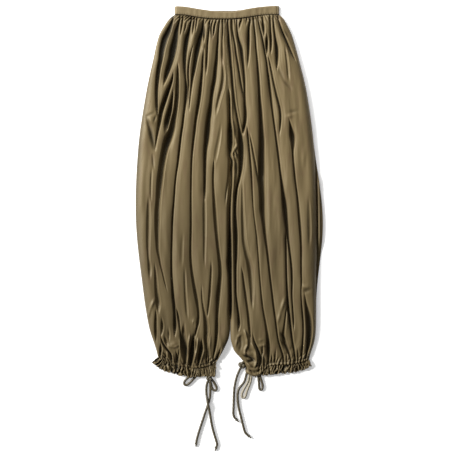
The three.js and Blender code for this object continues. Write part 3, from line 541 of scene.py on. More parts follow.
CREASES = (
    # The crinkle at the left hip.
    Crease((146.5, 117.5), (154.5, 113.5), 1.1, 2.2),
    Crease((147, 117), (150.4, 129), 1.6, 3),
    Crease((149.5, 124), (155, 149), 1.9, 5),
    Crease((156.5, 117), (154.5, 122), 1, 2.2),
    Crease((150.5, 119), (154.5, 124), 2.2, -1.8),
    Crease((153, 155), (154.2, 168), 1, 2),
    # The bright kink beside the fly and the pocket's mouth at the right hip.
    Crease((203, 44), (203.6, 49), 1, -3),
    Crease((283.5, 31), (289.5, 39), 2, 3),
    Crease((278.5, 69), (283.5, 81), 1.6, 1.8),
    Crease((283, 81), (290.5, 89), 1.5, 2.2),
    Crease((286, 117.5), (292, 116.5), 1.2, -2.4),
    Crease((289, 112.8), (297, 111.8), 1.3, 2.2),
    Crease((303.5, 150), (303, 166), 2.2, -1.4),
    # The dimple low on the right side.
    Crease((301.8, 286), (308.5, 287), 1.5, -3),
    Crease((303, 291), (309.5, 289.8), 1.5, 3),
    # The right leg's seam, where it crosses the folds.
    Crease((232.4, 121), (235, 138), 0.9, -3),
    Crease((235, 138), (237.6, 146), 1.3, -3.5),
    Crease((237.4, 146), (234, 150.5), 1, -4),
    Crease((234, 150.5), (232, 155), 1, -5),
    Crease((232, 155), (233.6, 159.5), 1, -5),
    Crease((234.6, 152), (236.8, 157), 0.8, -3.5),
    Crease((235.6, 151.6), (238.6, 159), 0.8, 3.5),
    Crease((233.8, 153.4), (234.6, 157.4), 0.6, 3),
    Crease((232.6, 140), (231.6, 148), 1, 4),
    Crease((233.4, 160), (234.6, 172), 1, -4),
    Crease((236, 161), (236.8, 176), 1.1, 3),
    Crease((234.4, 172), (233.4, 186), 1, -3.5),
    Crease((233.4, 186), (231.5, 198), 1, -2.5),
    # The broad shades low on both legs.
    Crease((165, 312), (168, 344), 3.6, 1.9),
    Crease((157, 322), (159.5, 348), 2.2, 1.8),
    Crease((179, 300), (183, 330), 2.6, 1.3),
    Crease((281.5, 330), (286.5, 352), 3, 2.2),
    Crease((268, 338), (270.5, 360), 2.6, 2),
    Crease((251, 262), (254.5, 300), 2.4, 1.3),
    Crease((258, 346), (265, 344.6), 1.2, -2.6),
    Crease((258.6, 340), (262.6, 339), 1, -2),
    # Above the left hem.
    Crease((155, 299), (150.5, 309), 1.3, -3),
    Crease((150.5, 309), (148, 318), 1.3, -2.5),
    Crease((192.5, 321), (194.5, 321.5), 2.2, -2.5),
    Crease((170, 345), (178, 343), 2.5, -2.5),
    Crease((190.4, 334), (188.4, 345), 0.8, -3),
    Crease((188.4, 345), (188.6, 355), 0.9, -4.6),
    Crease((188.6, 355), (187, 366), 0.9, -4.4),
    Crease((198.4, 338), (196.8, 350), 0.9, -4.2),
    Crease((196.8, 350), (194, 362), 0.9, -4.2),
    Crease((204, 351), (201, 360), 0.9, -4.4),
    Crease((195.4, 318), (196.6, 328), 1.6, -2.2),
    Crease((180.2, 338), (180.8, 346), 1, -3.4),
    Crease((201, 360), (199.4, 366), 0.8, -3),
    Crease((210.6, 336), (209, 357), 0.9, -2.4),
    Crease((180.6, 344), (180.4, 350), 0.8, -3.2),
    Crease((180, 350.5), (178, 358), 0.7, -3.2),
    Crease((173, 354), (174, 362), 0.8, -3),
    Crease((162.8, 349), (162, 358), 0.8, -3),
    Crease((165.2, 351), (166.2, 361), 0.6, -2.6),
    Crease((168.6, 345), (174, 347), 0.9, -2.8),
    Crease((174, 347), (179.4, 344.6), 0.9, -2.4),
    Crease((167.4, 350), (168.6, 356), 0.8, -2.4),
    Crease((206.4, 360), (210.6, 357), 0.8, -2.6),
    Crease((209, 363), (214, 357.6), 0.7, -2.6),
    Crease((207, 364.6), (212.6, 360.6), 0.6, 1.6),
    Crease((210.6, 365), (217, 357), 0.7, 2.2),
    Crease((183.4, 352), (184.6, 362), 0.8, -1.6),
    Crease((219.5, 334), (220.5, 346), 2, -2),
    # Above the right hem.
    Crease((244, 355), (249, 356.4), 0.9, 8),
    Crease((248, 356), (254.4, 359), 1, 10),
    Crease((247, 361), (254.2, 360), 0.9, 9),
    Crease((247.6, 358.2), (252.4, 359.2), 0.6, -4.2),
    Crease((245.2, 352.6), (252, 354), 1, -4.2),
    Crease((246.4, 362.6), (252.4, 366.6), 1.2, -6),
    Crease((244.6, 330), (247, 338), 1, -6),
    Crease((247, 338), (247.4, 344.5), 1, -6),
    Crease((247.4, 344.5), (245, 349), 1, -6),
    Crease((245, 349), (244.8, 355), 1, -5.1),
    Crease((251.6, 343), (255.4, 350), 1.2, -5.1),
    Crease((255.4, 350), (256.8, 361), 1.3, -6.8),
    Crease((256.8, 361), (254.6, 367), 1, -6),
    Crease((258, 359.4), (256.6, 365), 0.6, 4),
    Crease((256.6, 365), (254.6, 367.6), 0.6, 4),
    Crease((262, 352), (262.4, 364), 0.8, -5.1),
    Crease((263.6, 355), (264, 368), 0.8, 4),
    Crease((249.6, 369.6), (252.8, 371.6), 0.7, 5),
    Crease((252.8, 371.6), (257, 371.6), 0.7, 5.5),
    Crease((257, 371.6), (260, 368.8), 0.7, 5),
    Crease((250.6, 368.4), (257.6, 369), 0.7, -4.2),
    Crease((247, 371), (252.6, 373.8), 0.8, -4.2),
    Crease((252.6, 373.8), (258.4, 373.8), 0.8, -4.2),
    Crease((258.4, 373.8), (261.8, 370.4), 0.8, -3.4),
    Crease((244.8, 366), (246.6, 370.4), 0.9, 3.5),
    Crease((240.6, 337), (241.4, 344), 1.5, 3),
    Crease((241.4, 344), (239.8, 350), 1.3, 2.5),
    Crease((237.2, 336.8), (241, 333.6), 1.2, -3),
    Crease((237.4, 338), (235.6, 346), 0.9, -2.5),
    Crease((249, 349.6), (252.6, 350.6), 1.2, 2),
    Crease((284.5, 298), (280.5, 311), 1.6, -3),
    Crease((280, 312), (277.2, 323), 1.5, -2.5),
    Crease((281, 333), (286, 341), 1, 3.5),
    Crease((280.5, 340), (287, 349), 1, 3),
)


def inner_edge(side: Side, down: Array) -> Array:
    """Gives a leg's inner edge: on the centre line, then half a seam gap from it, then parted.

    Args:
        side: Which leg.
        down: Places down.

    Returns:
        The places across.
    """
    gap = SEAM_GAP * smoothstep(*GAP_OPENS, down)
    return CENTRE.at(down) + PARTING[side].at(down) + side.value * gap / 2


def bent_down(side: Side, across: Array, down: Array) -> Array:
    """Bends the rows near the waist and the hem to follow their curved seams.

    Args:
        side: Which leg.
        across: Places across.
        down: Distances down before the rows are bent.

    Returns:
        The places down.
    """
    waist = WAIST_LINE.at(across) - WAIST_SEAM
    hem = HEM_LINE[side].at(across) - HEM_SEAM
    near_waist = 1 - smoothstep(WAIST_SEAM, WAIST_SEAM + BENT_BELOW_WAIST, down)
    near_hem = smoothstep(HEM_SEAM - BENT_ABOVE_HEM, HEM_SEAM, down)
    return down + waist * near_waist + hem * near_hem


def lowest_near(grid: Array) -> Array:
    """Gives the lowest value in each point's neighbourhood of three by three."""
    padded = np.pad(grid, 1, mode="edge")
    rows, columns = grid.shape
    shifted = [padded[i : i + rows, j : j + columns] for i in range(3) for j in range(3)]
    return np.min(shifted, axis=0)


def wall_under(outer: Array, thickness: float, lowest: float) -> Array:
    """Makes a wall's inner grid, below the lowest of the outer one near each point.

    Args:
        outer: Grid of points, rows by columns by three, in millimetres.
        thickness: The wall's own thickness.
        lowest: The height that the inner grid stays above.

    Returns:
        The inner grid.
    """
    inner = outer.copy()
    inner[..., 2] = np.maximum(lowest_near(outer[..., 2]) - thickness, lowest)
    return inner


def grid_faces(rows: int, columns: int, first: int, turned: bool) -> Array:
    """Numbers the corners of a grid's faces.

    Args:
        rows: How many rows of points there are.
        columns: How many points there are in a row.
        first: The number of the first point.
        turned: Whether the faces look down.

    Returns:
        Four corners for each face.
    """
    number = np.arange(rows * columns).reshape(rows, columns) + first
    corners = [number[:-1, :-1], number[1:, :-1], number[1:, 1:], number[:-1, 1:]]
    if turned:
        corners.reverse()
    return np.stack(corners, axis=-1).reshape(-1, 4)


def grid_ring(rows: int, columns: int, first: int) -> Array:
    """Numbers the points round a grid's edge, in order."""
    number = np.arange(rows * columns).reshape(rows, columns) + first
    return np.concatenate([number[0, :-1], number[:-1, -1], number[-1, :0:-1], number[:0:-1, 0]])


def wall_object(name: str, outer: Array, inner: Array, trough: Array) -> bpy.types.Object:
    """Makes a closed wall between two grids of points, the outer one on top.

    The inner grid is as fine as the outer one, or has every second point of it.

    Args:
        name: The piece's name.
        outer: Upper grid, rows by columns by three, in millimetres, rows running down.
        inner: Lower grid.
        trough: How much painted shade each point of the upper grid has, from 0 to 1.

    Returns:
        The object, at the origin, with its place in its mesh.
    """
    rows, columns = outer.shape[:2]
    count = rows * columns
    step = (rows - 1) // (inner.shape[0] - 1)
    top = grid_faces(rows, columns, 0, False)
    under = grid_faces(inner.shape[0], inner.shape[1], count, True)
    ring = grid_ring(rows, columns, 0)
    inner_ring = grid_ring(inner.shape[0], inner.shape[1], count)
    ahead = [np.roll(ring, -k)[::step] for k in range(step + 1)]
    rim = np.stack(ahead + [np.roll(inner_ring, -1), inner_ring], axis=-1)
    loops = np.concatenate([top.ravel(), under.ravel(), rim.ravel()])
    sizes = np.concatenate([np.full(len(top) + len(under), 4), np.full(len(rim), step + 3)])
    mesh = bpy.data.meshes.new(name)
    points = np.concatenate([outer.reshape(-1, 3), inner.reshape(-1, 3)]) * MM
    mesh.vertices.add(len(points))
    mesh.vertices.foreach_set("co", points.astype(np.float32).ravel())
    mesh.loops.add(len(loops))
    mesh.loops.foreach_set("vertex_index", loops.astype(np.int32))
    mesh.polygons.add(len(sizes))
    starts = np.concatenate([[0], np.cumsum(sizes)[:-1]])
    mesh.polygons.foreach_set("loop_start", starts.astype(np.int32))
    smooth = np.arange(len(sizes)) < len(top) + len(under)
    mesh.polygons.foreach_set("use_smooth", smooth)
    mesh.update(calc_edges=True)
    # Painted shade: the upper grid's share of near black is kept as the trough attribute, which the
    # materials mix into the colour; the inner grid gets none.
    shades = np.concatenate([trough.ravel(), np.zeros(inner.shape[0] * inner.shape[1])])
    attribute = mesh.attributes.new("trough", "FLOAT", "POINT")
    attribute.data.foreach_set("value", shades.astype(np.float32))
    mesh.validate()
    return place_in_scene(bpy.data.objects.new(name, mesh))


def place_in_scene(piece: bpy.types.Object) -> bpy.types.Object:
    """Links an object into the scene and gives it back."""
    bpy.context.scene.collection.objects.link(piece)
    return piece


def dress(piece: bpy.types.Object, material: bpy.types.Material) -> None:
    """Gives a piece one material."""
    piece.data.materials.clear()
    piece.data.materials.append(material)


class Sock:
    """A shader socket on which arithmetic adds Math nodes."""

    def __init__(self, maker: "MaterialMaker", socket: bpy.types.NodeSocket) -> None:
        """Keeps the socket and the maker whose tree it is in."""
        self.maker = maker
        self.socket = socket

    def math(self, operation: str, first: object, second: object) -> "Sock":
        """Adds one Math node on two values."""
        return self.maker.node("ShaderNodeMath", {"operation": operation}, {0: first, 1: second})

    def __add__(self, other: object) -> "Sock":
        """Adds."""
        return self.math("ADD", self, other)

    def __radd__(self, other: object) -> "Sock":
        """Adds, reflected."""
        return self.math("ADD", other, self)

    def __mul__(self, other: object) -> "Sock":
        """Multiplies."""
        return self.math("MULTIPLY", self, other)

    def __rmul__(self, other: object) -> "Sock":
        """Multiplies, reflected."""
        return self.math("MULTIPLY", other, self)


class MaterialMaker:
    """Builds one node material."""

    def __init__(self, name: str) -> None:
        """Makes the material, with an empty tree and an output."""
        self.material = bpy.data.materials.new(name)
        self.material.use_nodes = True
        self.tree = self.material.node_tree
        self.tree.nodes.clear()
        self.output = self.tree.nodes.new("ShaderNodeOutputMaterial")

    def node(
        self, kind: str, settings: dict[str, object], values: dict[object, object], out: object = 0
    ) -> Sock:
        """Adds a node.

        Args:
            kind: The node's type.
            settings: Its own settings, set first; "stops" is a list of (place, colour) for a ramp.
            values: What goes into its sockets, by name or number: a Sock or a constant.
            out: Which output to give back.

        Returns:
            The chosen output.
        """
        made = self.tree.nodes.new(kind)
        for key, value in settings.items():
            if key == "stops":
                self.set_stops(made, value)
            else:
                setattr(made, key, value)
        for key, value in values.items():
            if isinstance(value, Sock):
                self.tree.links.new(value.socket, made.inputs[key])
            else:
                made.inputs[key].default_value = value
        return Sock(self, made.outputs[out])

    @staticmethod
    def set_stops(ramp: bpy.types.Node, stops: list[tuple[float, tuple[float, ...]]]) -> None:
        """Puts the stops on a colour ramp."""
        elements = ramp.color_ramp.elements
        while len(elements) < len(stops):
            elements.new(0.5)
        for element, (place, colour) in zip(elements, stops):
            element.position = place
            element.color = colour

    def here(self) -> Sock:
        """Gives the Object coordinates."""
        return self.node("ShaderNodeTexCoord", {}, {}, "Object")

    def scaled(self, vector: Sock, scale: tuple[float, float, float]) -> Sock:
        """Scales a vector by three numbers."""
        return self.node("ShaderNodeMapping", {}, {"Vector": vector, "Scale": scale})

    def noise(self, vector: Sock, scale: float, detail: float = 2.0) -> Sock:
        """Gives a noise from 0 to 1."""
        return self.node("ShaderNodeTexNoise", {}, {"Vector": vector, "Scale": scale, "Detail": detail})

    def ranged(self, value: Sock, low: float, high: float, first: float, last: float) -> Sock:
        """Turns a value that runs from low to high into one from first to last, held beyond both."""
        return self.node(
            "ShaderNodeMapRange",
            {"interpolation_type": "SMOOTHSTEP"},
            {"Value": value, "From Min": low, "From Max": high, "To Min": first, "To Max": last},
        )

    def mixed(self, share: object, first: object, second: object) -> Sock:
        """Mixes two colours."""
        return self.node("ShaderNodeMix", {"data_type": "RGBA"}, {0: share, 6: first, 7: second}, 2)

    def wave(self, vector: Sock, direction: str, size: float, distortion: float) -> Sock:
        """Gives waves of a size in metres across one direction."""
        return self.node(
            "ShaderNodeTexWave",
            {"bands_direction": direction},
            {"Vector": vector, "Scale": math.pi / 10 / size, "Distortion": distortion, "Detail": 1.0},
            "Fac",
        )

    def bump(self, height: Sock, strength: float, distance: float) -> Sock:
        """Turns a height into a normal."""
        values = {"Height": height, "Strength": strength, "Distance": distance}
        return self.node("ShaderNodeBump", {}, values)

    def finish(self, values: dict[object, object]) -> bpy.types.Material:
        """Ends the tree in one principled surface and gives the material."""
        surface = self.node("ShaderNodeBsdfPrincipled", {}, values)
        self.tree.links.new(surface.socket, self.output.inputs["Surface"])
        return self.material


Colour = tuple[float, float, float, float]


def opaque(red: float, green: float, blue: float) -> Colour:
    """Makes a solid colour."""
    return (red, green, blue, 1.0)


@dataclass(frozen=True)
class JerseyFinish:
    """Fine knitted jersey with a soft satin sheen, in olive brown."""

    name: str = "olive_jersey"
    light: Colour = opaque(0.175, 0.130, 0.062)
    deep: Colour = opaque(0.137, 0.099, 0.044)
    warm: Colour = opaque(0.142, 0.094, 0.048)
    # The near-black colour painted in as shade where the trough attribute is high.
    trough: Colour = opaque(0.005, 0.0035, 0.0015)
    # The share of its tone the cloth keeps at the bottom under the painted shade that darkens it downwards.
    lower: float = 0.76
    roughness: float = 0.5
    sheen: float = 0.2
    wale: float = 0.0011
    course: float = 0.0009

    WANDER = (6, 2, 6)
    STREAK = (60, 5, 60)
    PATCH = (75, 22, 75)
    SLUB = (260, 90, 260)
    PATCH_TONE = (0.5, 0.72, 0.0, 0.55)
    # Where the painted shade that darkens the cloth downwards begins and is full, in metres up.
    PAINTED_DIM_SPAN = (0.12, -0.16)
    KNIT_HEIGHT = 0.00025

    def build(self) -> bpy.types.Material:
        """Builds the material: a tone that wanders, painted shade and a fine knit."""
        make = MaterialMaker(self.name)
        place = make.here()
        wander = make.noise(make.scaled(place, self.WANDER), 1.0, 3.0)
        streak = make.noise(make.scaled(place, self.STREAK), 1.0, 2.0)
        tone = make.mixed(wander * 0.6 + streak * 0.4, self.deep, self.light)
        patch = make.noise(make.scaled(place, self.PATCH), 1.0, 3.0)
        tone = make.mixed(make.ranged(patch, *self.PATCH_TONE), tone, self.warm)
        # Painted shade: the tone is darkened towards the bottom, standing in for light that falls off there.
        up = make.node("ShaderNodeSeparateXYZ", {}, {"Vector": place}, "Y")
        darker = make.ranged(up, *self.PAINTED_DIM_SPAN, 0.0, 1 - self.lower)
        tone = make.mixed(darker, tone, opaque(0, 0, 0))
        # Painted shade: near black is mixed into the colour by the trough attribute, in troughs, along seams
        # and on the left rim.
        fold = make.node("ShaderNodeAttribute", {"attribute_name": "trough"}, {}, "Fac")
        colour = make.mixed(fold * 0.98, tone, self.trough)
        wale = make.wave(place, "X", self.wale, 0.6)
        course = make.wave(place, "Y", self.course, 0.4)
        knit = wale * 0.7 + course * 0.3
        slub = make.noise(make.scaled(place, self.SLUB), 1.0, 2.0)
        normal = make.bump(knit + slub * 0.8, 0.35, self.KNIT_HEIGHT)
        rough = self.roughness - 0.06 + 0.12 * slub
        return make.finish(
            {
                "Base Color": colour,
                "Roughness": rough,
                "Normal": normal,
                "Sheen Weight": self.sheen,
                "Sheen Roughness": 0.35,
                "Sheen Tint": opaque(1.0, 0.88, 0.62),
                "Specular Tint": opaque(1.0, 0.9, 0.68),
                "Specular IOR Level": 0.42,
            }
        )


@dataclass(frozen=True)
class TieFinish:
    """Narrow rouleau cord of the same cloth, a little darker."""

    name: str = "olive_tie"
    light: Colour = opaque(0.096, 0.076, 0.038)
    deep: Colour = opaque(0.040, 0.031, 0.015)

    def build(self) -> bpy.types.Material:
        """Builds the material."""
        make = MaterialMaker(self.name)
        place = make.here()
        wander = make.noise(place, 140.0, 2.0)
        tone = make.mixed(wander, self.deep, self.light)
        fine = make.noise(place, 1400.0, 1.0)
        return make.finish(
            {
                "Base Color": tone,
                "Roughness": 0.48,
                "Normal": make.bump(fine + wander, 0.4, 0.0004),
                "Sheen Weight": 0.2,
                "Sheen Roughness": 0.4,
            }
        )


@dataclass(frozen=True)
class PlainFinish:
    """A matt finish of one colour with a faint grain, for thread and for the floor."""

    name: str
    colour: Colour
    roughness: float
    grain: float
    glow: float = 0.0

    def build(self) -> bpy.types.Material:
        """Builds the material."""
        make = MaterialMaker(self.name)
        grain = make.noise(make.here(), self.grain, 2.0)
        darker = tuple(0.97 * value for value in self.colour[:3]) + (1.0,)
        return make.finish(
            {
                "Base Color": make.mixed(grain, darker, self.colour),
                "Roughness": self.roughness,
                "Emission Color": opaque(1.0, 1.0, 1.0),
                "Emission Strength": self.glow,
            }
        )


class Finishes:
    """All the materials, built once."""

    def __init__(self) -> None:
        """Builds them."""
        self.jersey = JerseyFinish().build()
        self.band = JerseyFinish(
            name="olive_band",
            light=opaque(0.208, 0.158, 0.082),
            deep=opaque(0.172, 0.127, 0.063),
            roughness=0.52,
        ).build()
        self.tie = TieFinish().build()
        # The right bow's inner loop is coloured pale as a painted highlight.
        painted_highlight = TieFinish("painted_highlight_tie", light=opaque(0.34, 0.30, 0.22), deep=opaque(0.22, 0.19, 0.13))
        self.highlit_tie = painted_highlight.build()
        thread = opaque(0.15, 0.115, 0.062)
        self.thread = PlainFinish("olive_thread", thread, roughness=0.7, grain=900.0).build()
        white = opaque(0.9, 0.9, 0.895)
        self.floor = PlainFinish("white_floor", white, roughness=0.8, grain=3.0, glow=0.4).build()


@dataclass
class Studio:
    """The camera straight above, a pale floor and soft light from the upper left."""

    lens: float = 90.0
    sensor: float = 36.0
    floor_half: float = 12.0
    floor_height: float = -0.0002
    sky: float = 0.09

    def build(self, finishes: Finishes) -> None:
        """Makes the camera, the floor and the lights."""
        distance = Drawing.SIDE * Drawing.UNIT * MM * self.lens / self.sensor
        centre_x = Drawing.across(Drawing.SIDE / 2) * MM
        centre_y = height_of(Drawing.down(Drawing.SIDE / 2)) * MM
        data = bpy.data.cameras.new("camera")
        data.lens = self.lens
        data.sensor_width = self.sensor
        camera = place_in_scene(bpy.data.objects.new("camera", data))
        camera.location = (centre_x, centre_y, distance)
        bpy.context.scene.camera = camera
        self.floor(finishes)
        self.sun("key", Vector((-2.3, 0.9, 1.5)), angle=0.3, power=5.75)
        self.softbox("top", Vector((-0.9, 2.3, 1.5)), Vector((0.0, 0.45, 0.0)), size=1.2, power=46.0)
        world = bpy.data.worlds.new("studio")
        world.use_nodes = True
        background = world.node_tree.nodes["Background"]
        background.inputs["Color"].default_value = opaque(1.0, 1.0, 1.0)
        background.inputs["Strength"].default_value = self.sky
        scene = bpy.context.scene
        scene.world = world
        scene.view_settings.view_transform = "Standard"
        scene.view_settings.look = "None"

    def floor(self, finishes: Finishes) -> None:
        """Makes the floor."""
        mesh = bpy.data.meshes.new("floor")
        turns = ((-1, -1), (1, -1), (1, 1), (-1, 1))
        corners = [(x * self.floor_half, y * self.floor_half, self.floor_height) for x, y in turns]
        mesh.from_pydata(corners, [], [(0, 1, 2, 3)])
        floor = place_in_scene(bpy.data.objects.new("floor", mesh))
        dress(floor, finishes.floor)

    def softbox(self, name: str, place: Vector, target: Vector, size: float, power: float) -> None:
        """Makes one square light that faces a target.

        Args:
            name: Its name.
            place: Where it stands, in metres.
            target: What it faces.
            size: The side of its square.
            power: Its power in watts.
        """
        data = bpy.data.lights.new(name, "AREA")
        data.size = size
        self.hang(data, place, target, power)

    def sun(self, name: str, place: Vector, angle: float, power: float) -> None:
        """Makes one broad, even light that faces the middle of the garment from afar.

        Args:
            name: Its name.
            place: Where it stands, in metres.
            angle: How broad it looks, in radians, which softens its shadows.
            power: Its strength.
        """
        data = bpy.data.lights.new(name, "SUN")
        data.angle = angle
        self.hang(data, place, Vector((0.0, 0.0, 0.0)), power)

    @staticmethod
    def hang(data: bpy.types.Light, place: Vector, target: Vector, power: float) -> None:
        """Puts a light in its place.

        Args:
            data: The light.
            place: Where it stands, in metres.
            target: What it faces.
            power: Its strength.
        """
        data.energy = power
        lamp = place_in_scene(bpy.data.objects.new(data.name, data))
        lamp.location = place
        lamp.rotation_mode = "QUATERNION"
        lamp.rotation_quaternion = (target - place).to_track_quat("-Z", "Y")


class FrontSurface:
    """The upper surface of the two front leg panels, which share their folds across the centre."""

    SIDE_ROLL = 26.0
    INNER_ROLL = 16.0
    TOUCHING_ROLL = 9.0
    LEGS_PART = (820, 905)
    SEAM_DROP = 0.45
    DROP_REACH = 14.0
    CORNER_MIDDLE = 68.0
    CORNER_REACH = 25.0
    CORNER_BEGINS = (968, 984)
    FULL_ROOM = 12.0
    CREASE_ROOM = 8.0
    WAIST_GATHERS = (26.0, 2.1)
    HEM_GATHERS = (30.0, 1.9)
    CHANNEL = 7.5
    RIDGE = 2.0
    SWELL_SEEDS = (3, 5, 7)
    GATHER_SEEDS = (41, 43, 45)
    RIDGE_SEED = 31

    @staticmethod
    def lay(side: Side, across: Array, station: Array) -> Array:
        """Gives the height of the laid cloth before its folds.

        Args:
            side: Which leg.
            across: Places across.
            station: Distances down before the rows are bent.

        Returns:
            The height in millimetres.
        """
        crown = LAY_CROWN.at(station)
        inner = LAY_INNER.at(station)
        from_side = np.abs(across - SIDE_LINE[side].at(station))
        from_inner = np.abs(across - inner_edge(side, station))
        apart = smoothstep(*FrontSurface.LEGS_PART, station)
        touching = smoothstep(0, 1, from_inner / FrontSurface.TOUCHING_ROLL)
        rise = blend(touching, rolled(from_inner, FrontSurface.INNER_ROLL), apart)
        towards_inner = blend(inner, crown, rise)
        return blend(LOWEST_FRONT, towards_inner, rolled(from_side, FrontSurface.SIDE_ROLL))

    @staticmethod
    def swell(flow: Array, down: Array) -> Array:
        """Gives the soft unevenness of the cloth between its folds.

        Args:
            flow: Places across that keep to the folds' own run.
            down: Distances down.

        Returns:
            The height in millimetres.
        """
        first, second, third = FrontSurface.SWELL_SEEDS
        drifted = flow + 3.0 * np.sin(down / 140.0 + flow / 30.0)
        broad = uneven(drifted / 15.0, down / 120.0, first)
        middling = uneven(drifted / 7.0, down / 60.0, second)
        fine = uneven(drifted / 3.2, down / 34.0, third)
        smooth = smoothstep(128, 150, flow) * (1 - smoothstep(300, 430, down))
        return (1.5 * broad + 0.6 * middling + 0.12 * fine) * (1 - 0.7 * smooth)

    @staticmethod
    def gathers(flow: Array, from_seam: Array, reach: float, height: float) -> Array:
        """Gives the smallest gathers beside a seam.

        Args:
            flow: Places across that keep to the folds' own run.
            from_seam: Distances from the seam.
            reach: How far they run.
            height: How high they stand.

        Returns:
            The height in millimetres.
        """
        first, second, third = FrontSurface.GATHER_SEEDS
        along = from_seam / reach
        strength = 0.8 + 0.5 * uneven(flow / 9.0, along, first)
        own_reach = reach * (0.95 + 0.35 * uneven(flow / 6.0, np.zeros_like(along), second))
        fade = 1 - smoothstep(0, 1, from_seam / own_reach)
        phase = flow / 1.3 + 1.9 * uneven(flow / 11.0, along * 0.7, third)
        return height * strength * fade * np.sin(phase)

    @staticmethod
    def folds(across: Array, station: Array, down: Array) -> tuple[Array, Array]:
        """Adds up the troughs' depths and their lips, less deep where a seam holds the cloth.

        Args:
            across: Places across.
            station: Distances down before the rows are bent.
            down: Places down.

        Returns:
            The depth and the lips' height, in millimetres.
        """
        dent = np.zeros_like(across)
        lip = np.zeros_like(across)
        for trough in TROUGHS:
            depth, rise = trough.cut(across, down)
            dent += depth
            lip += rise
        dent *= blend(0.3, 1.0, smoothstep(1.5, 9.0, station - WAIST_SEAM))
        dent *= blend(0.35, 1.0, smoothstep(3.0, 10.0, HEM_SEAM - station))
        return dent, lip

    @staticmethod
    def height(side: Side, across: Array, station: Array, down: Array) -> tuple[Array, Array]:
        """Works out the surface's height, with all its folds.

        Args:
            side: Which leg.
            across: Places across.
            station: Distances down before the rows are bent.
            down: Distances down.

        Returns:
            The height in millimetres and how much painted shade each point has.
        """
        surface = FrontSurface
        lay = surface.lay(side, across, station)
        room = lay - LOWEST_FRONT
        aside = (across - surface.CORNER_MIDDLE) / surface.CORNER_REACH
        corner = np.exp(-(aside**4)) * smoothstep(*surface.CORNER_BEGINS, station)
        dent, lip = surface.folds(across, station, down)
        dent *= 1 - 0.8 * corner
        share = np.tanh(1.1 * dent / np.maximum(room, 2.0))
        height = lay - room * 0.98 * share + lip * np.clip(room / surface.FULL_ROOM, 0, 1)
        outline = np.abs(SIDE_LINE[side].at(station) - inner_edge(side, station))
        waist = np.abs(SIDE_LINE[side].at(WAIST_SEAM) - inner_edge(side, WAIST_SEAM))
        flow = across * waist / outline
        height += surface.swell(flow, down) * np.clip(room / surface.FULL_ROOM, 0, 1.2) * (1 - 0.7 * share)
        from_waist = station - WAIST_SEAM
        from_hem = HEM_SEAM - station
        gather = surface.gathers(flow, from_waist, *surface.WAIST_GATHERS)
        height += gather
        height += surface.gathers(flow + 40.0, from_hem, *surface.HEM_GATHERS) * (1 - corner)
        patches = uneven(flow / 7.0, np.zeros_like(flow), surface.RIDGE_SEED + side.value)
        patchy = (0.5 + 0.5 * patches) * (1 - corner)
        ridge = (1.3 if side is Side.RIGHT else 0.7) * patchy
        height += ridge * np.exp(-(((from_hem - surface.RIDGE) / 2.0) ** 2))
        height -= 1.3 * patchy * np.exp(-(((from_hem - surface.CHANNEL) / 1.6) ** 2))
        # Painted shade in the gathers' valleys, and below along the creases.
        painted_crease_shade = np.clip(-0.3 * gather, 0, 0.55)
        for crease in CREASES:
            pressed = crease.dent(across, down)
            height -= pressed * np.clip(room / surface.CREASE_ROOM + 0.5 * (pressed < 0), 0, 1)
            painted_crease_shade = np.maximum(painted_crease_shade, np.clip(pressed / 6.5, 0, 1))
        from_band = np.clip(from_waist / surface.DROP_REACH, 0, 1)
        drop = surface.SEAM_DROP * (1 - rolled(from_band, 1.0))
        height = LOWEST_FRONT + (height - LOWEST_FRONT) * (1 - drop)
        # Painted shadow in a line just below the band's seam.
        seam = np.exp(-((from_waist / 2.3) ** 2))
        # Painted shade in the groove along the hem's drawstring channel.
        channel = 0.75 * np.exp(-(((from_hem - surface.CHANNEL) / 1.8) ** 2)) * patchy
        # Painted shade on the left leg's rolled outer edge, which faces the key light.
        rim = np.zeros_like(across)
        if side is Side.LEFT:
            from_side = across - SIDE_LINE[side].at(station)
            rim = LEFT_RIM_SHADE.at(station) * (1 - smoothstep(3, 19, from_side))
        # The painted shade at each point is the strongest of these; fold depth is painted as shade in the
        # troughs.
        shades = [share**1.3, seam, painted_crease_shade, channel, rim]
        return np.maximum(height, LOWEST_FRONT), np.max(shades, axis=0)


class LegGrid:
    """The points of a leg panel, in rows that bend near the waist and the hem."""

    def __init__(self, side: Side, side_line: Line, stations: Array, columns: int) -> None:
        """Sets out the points.

        Args:
            side: Which leg.
            side_line: Its outer edge.
            stations: The rows' distances down before they are bent.
            columns: How many points there are in a row.
        """
        edges = np.stack([side_line.at(stations), inner_edge(side, stations)], axis=1)
        self.edges = np.sort(edges, axis=1)
        self.breadth = self.edges[:, 1:] - self.edges[:, :1]
        self.share = np.linspace(0, 1, columns)[None, :]
        self.across = self.edges[:, :1] + self.breadth * self.share
        self.station = np.repeat(stations[:, None], columns, axis=1)
        self.down = bent_down(side, self.across, self.station)
        self.down[0] += SEAM_GAP


@dataclass
class FrontLeg:
    """One front leg panel, gathered at the waist and the hem, with its long folds."""

    side: Side
    rows: int = 301
    columns: int = 231

    @property
    def name(self) -> str:
        """The piece's name."""
        return f"{self.side.name.lower()}_leg_front_cloth"

    def stations(self) -> Array:
        """Gives the rows' distances down, closest together at the waist and the hem."""
        share = np.linspace(0, 1, self.rows)
        return blend(WAIST_SEAM, HEM_SEAM, blend(share, (1 - np.cos(math.pi * share)) / 2, 0.5))

    def surface(self) -> tuple[Array, Array]:
        """Works out the upper surface.

        Returns:
            The grid of points in millimetres, and how much painted shade each one has.
        """
        grid = LegGrid(self.side, SIDE_LINE[self.side], self.stations(), self.columns)
        height, trough = FrontSurface.height(self.side, grid.across, grid.station, grid.down)
        return np.stack([grid.across, height_of(grid.down), height], axis=-1), trough

    def build(self, finishes: Finishes) -> bpy.types.Object:
        outer, trough = self.surface()
        inner = wall_under(outer, WALL, WALL + LAYER_GAP)[::2, ::2]
        piece = wall_object(self.name, outer, inner, trough)
        side = self.side.name.lower()
        dress(piece, finishes.jersey)
        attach(piece, "root")
        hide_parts(f"front_{side}_leg")
        return piece


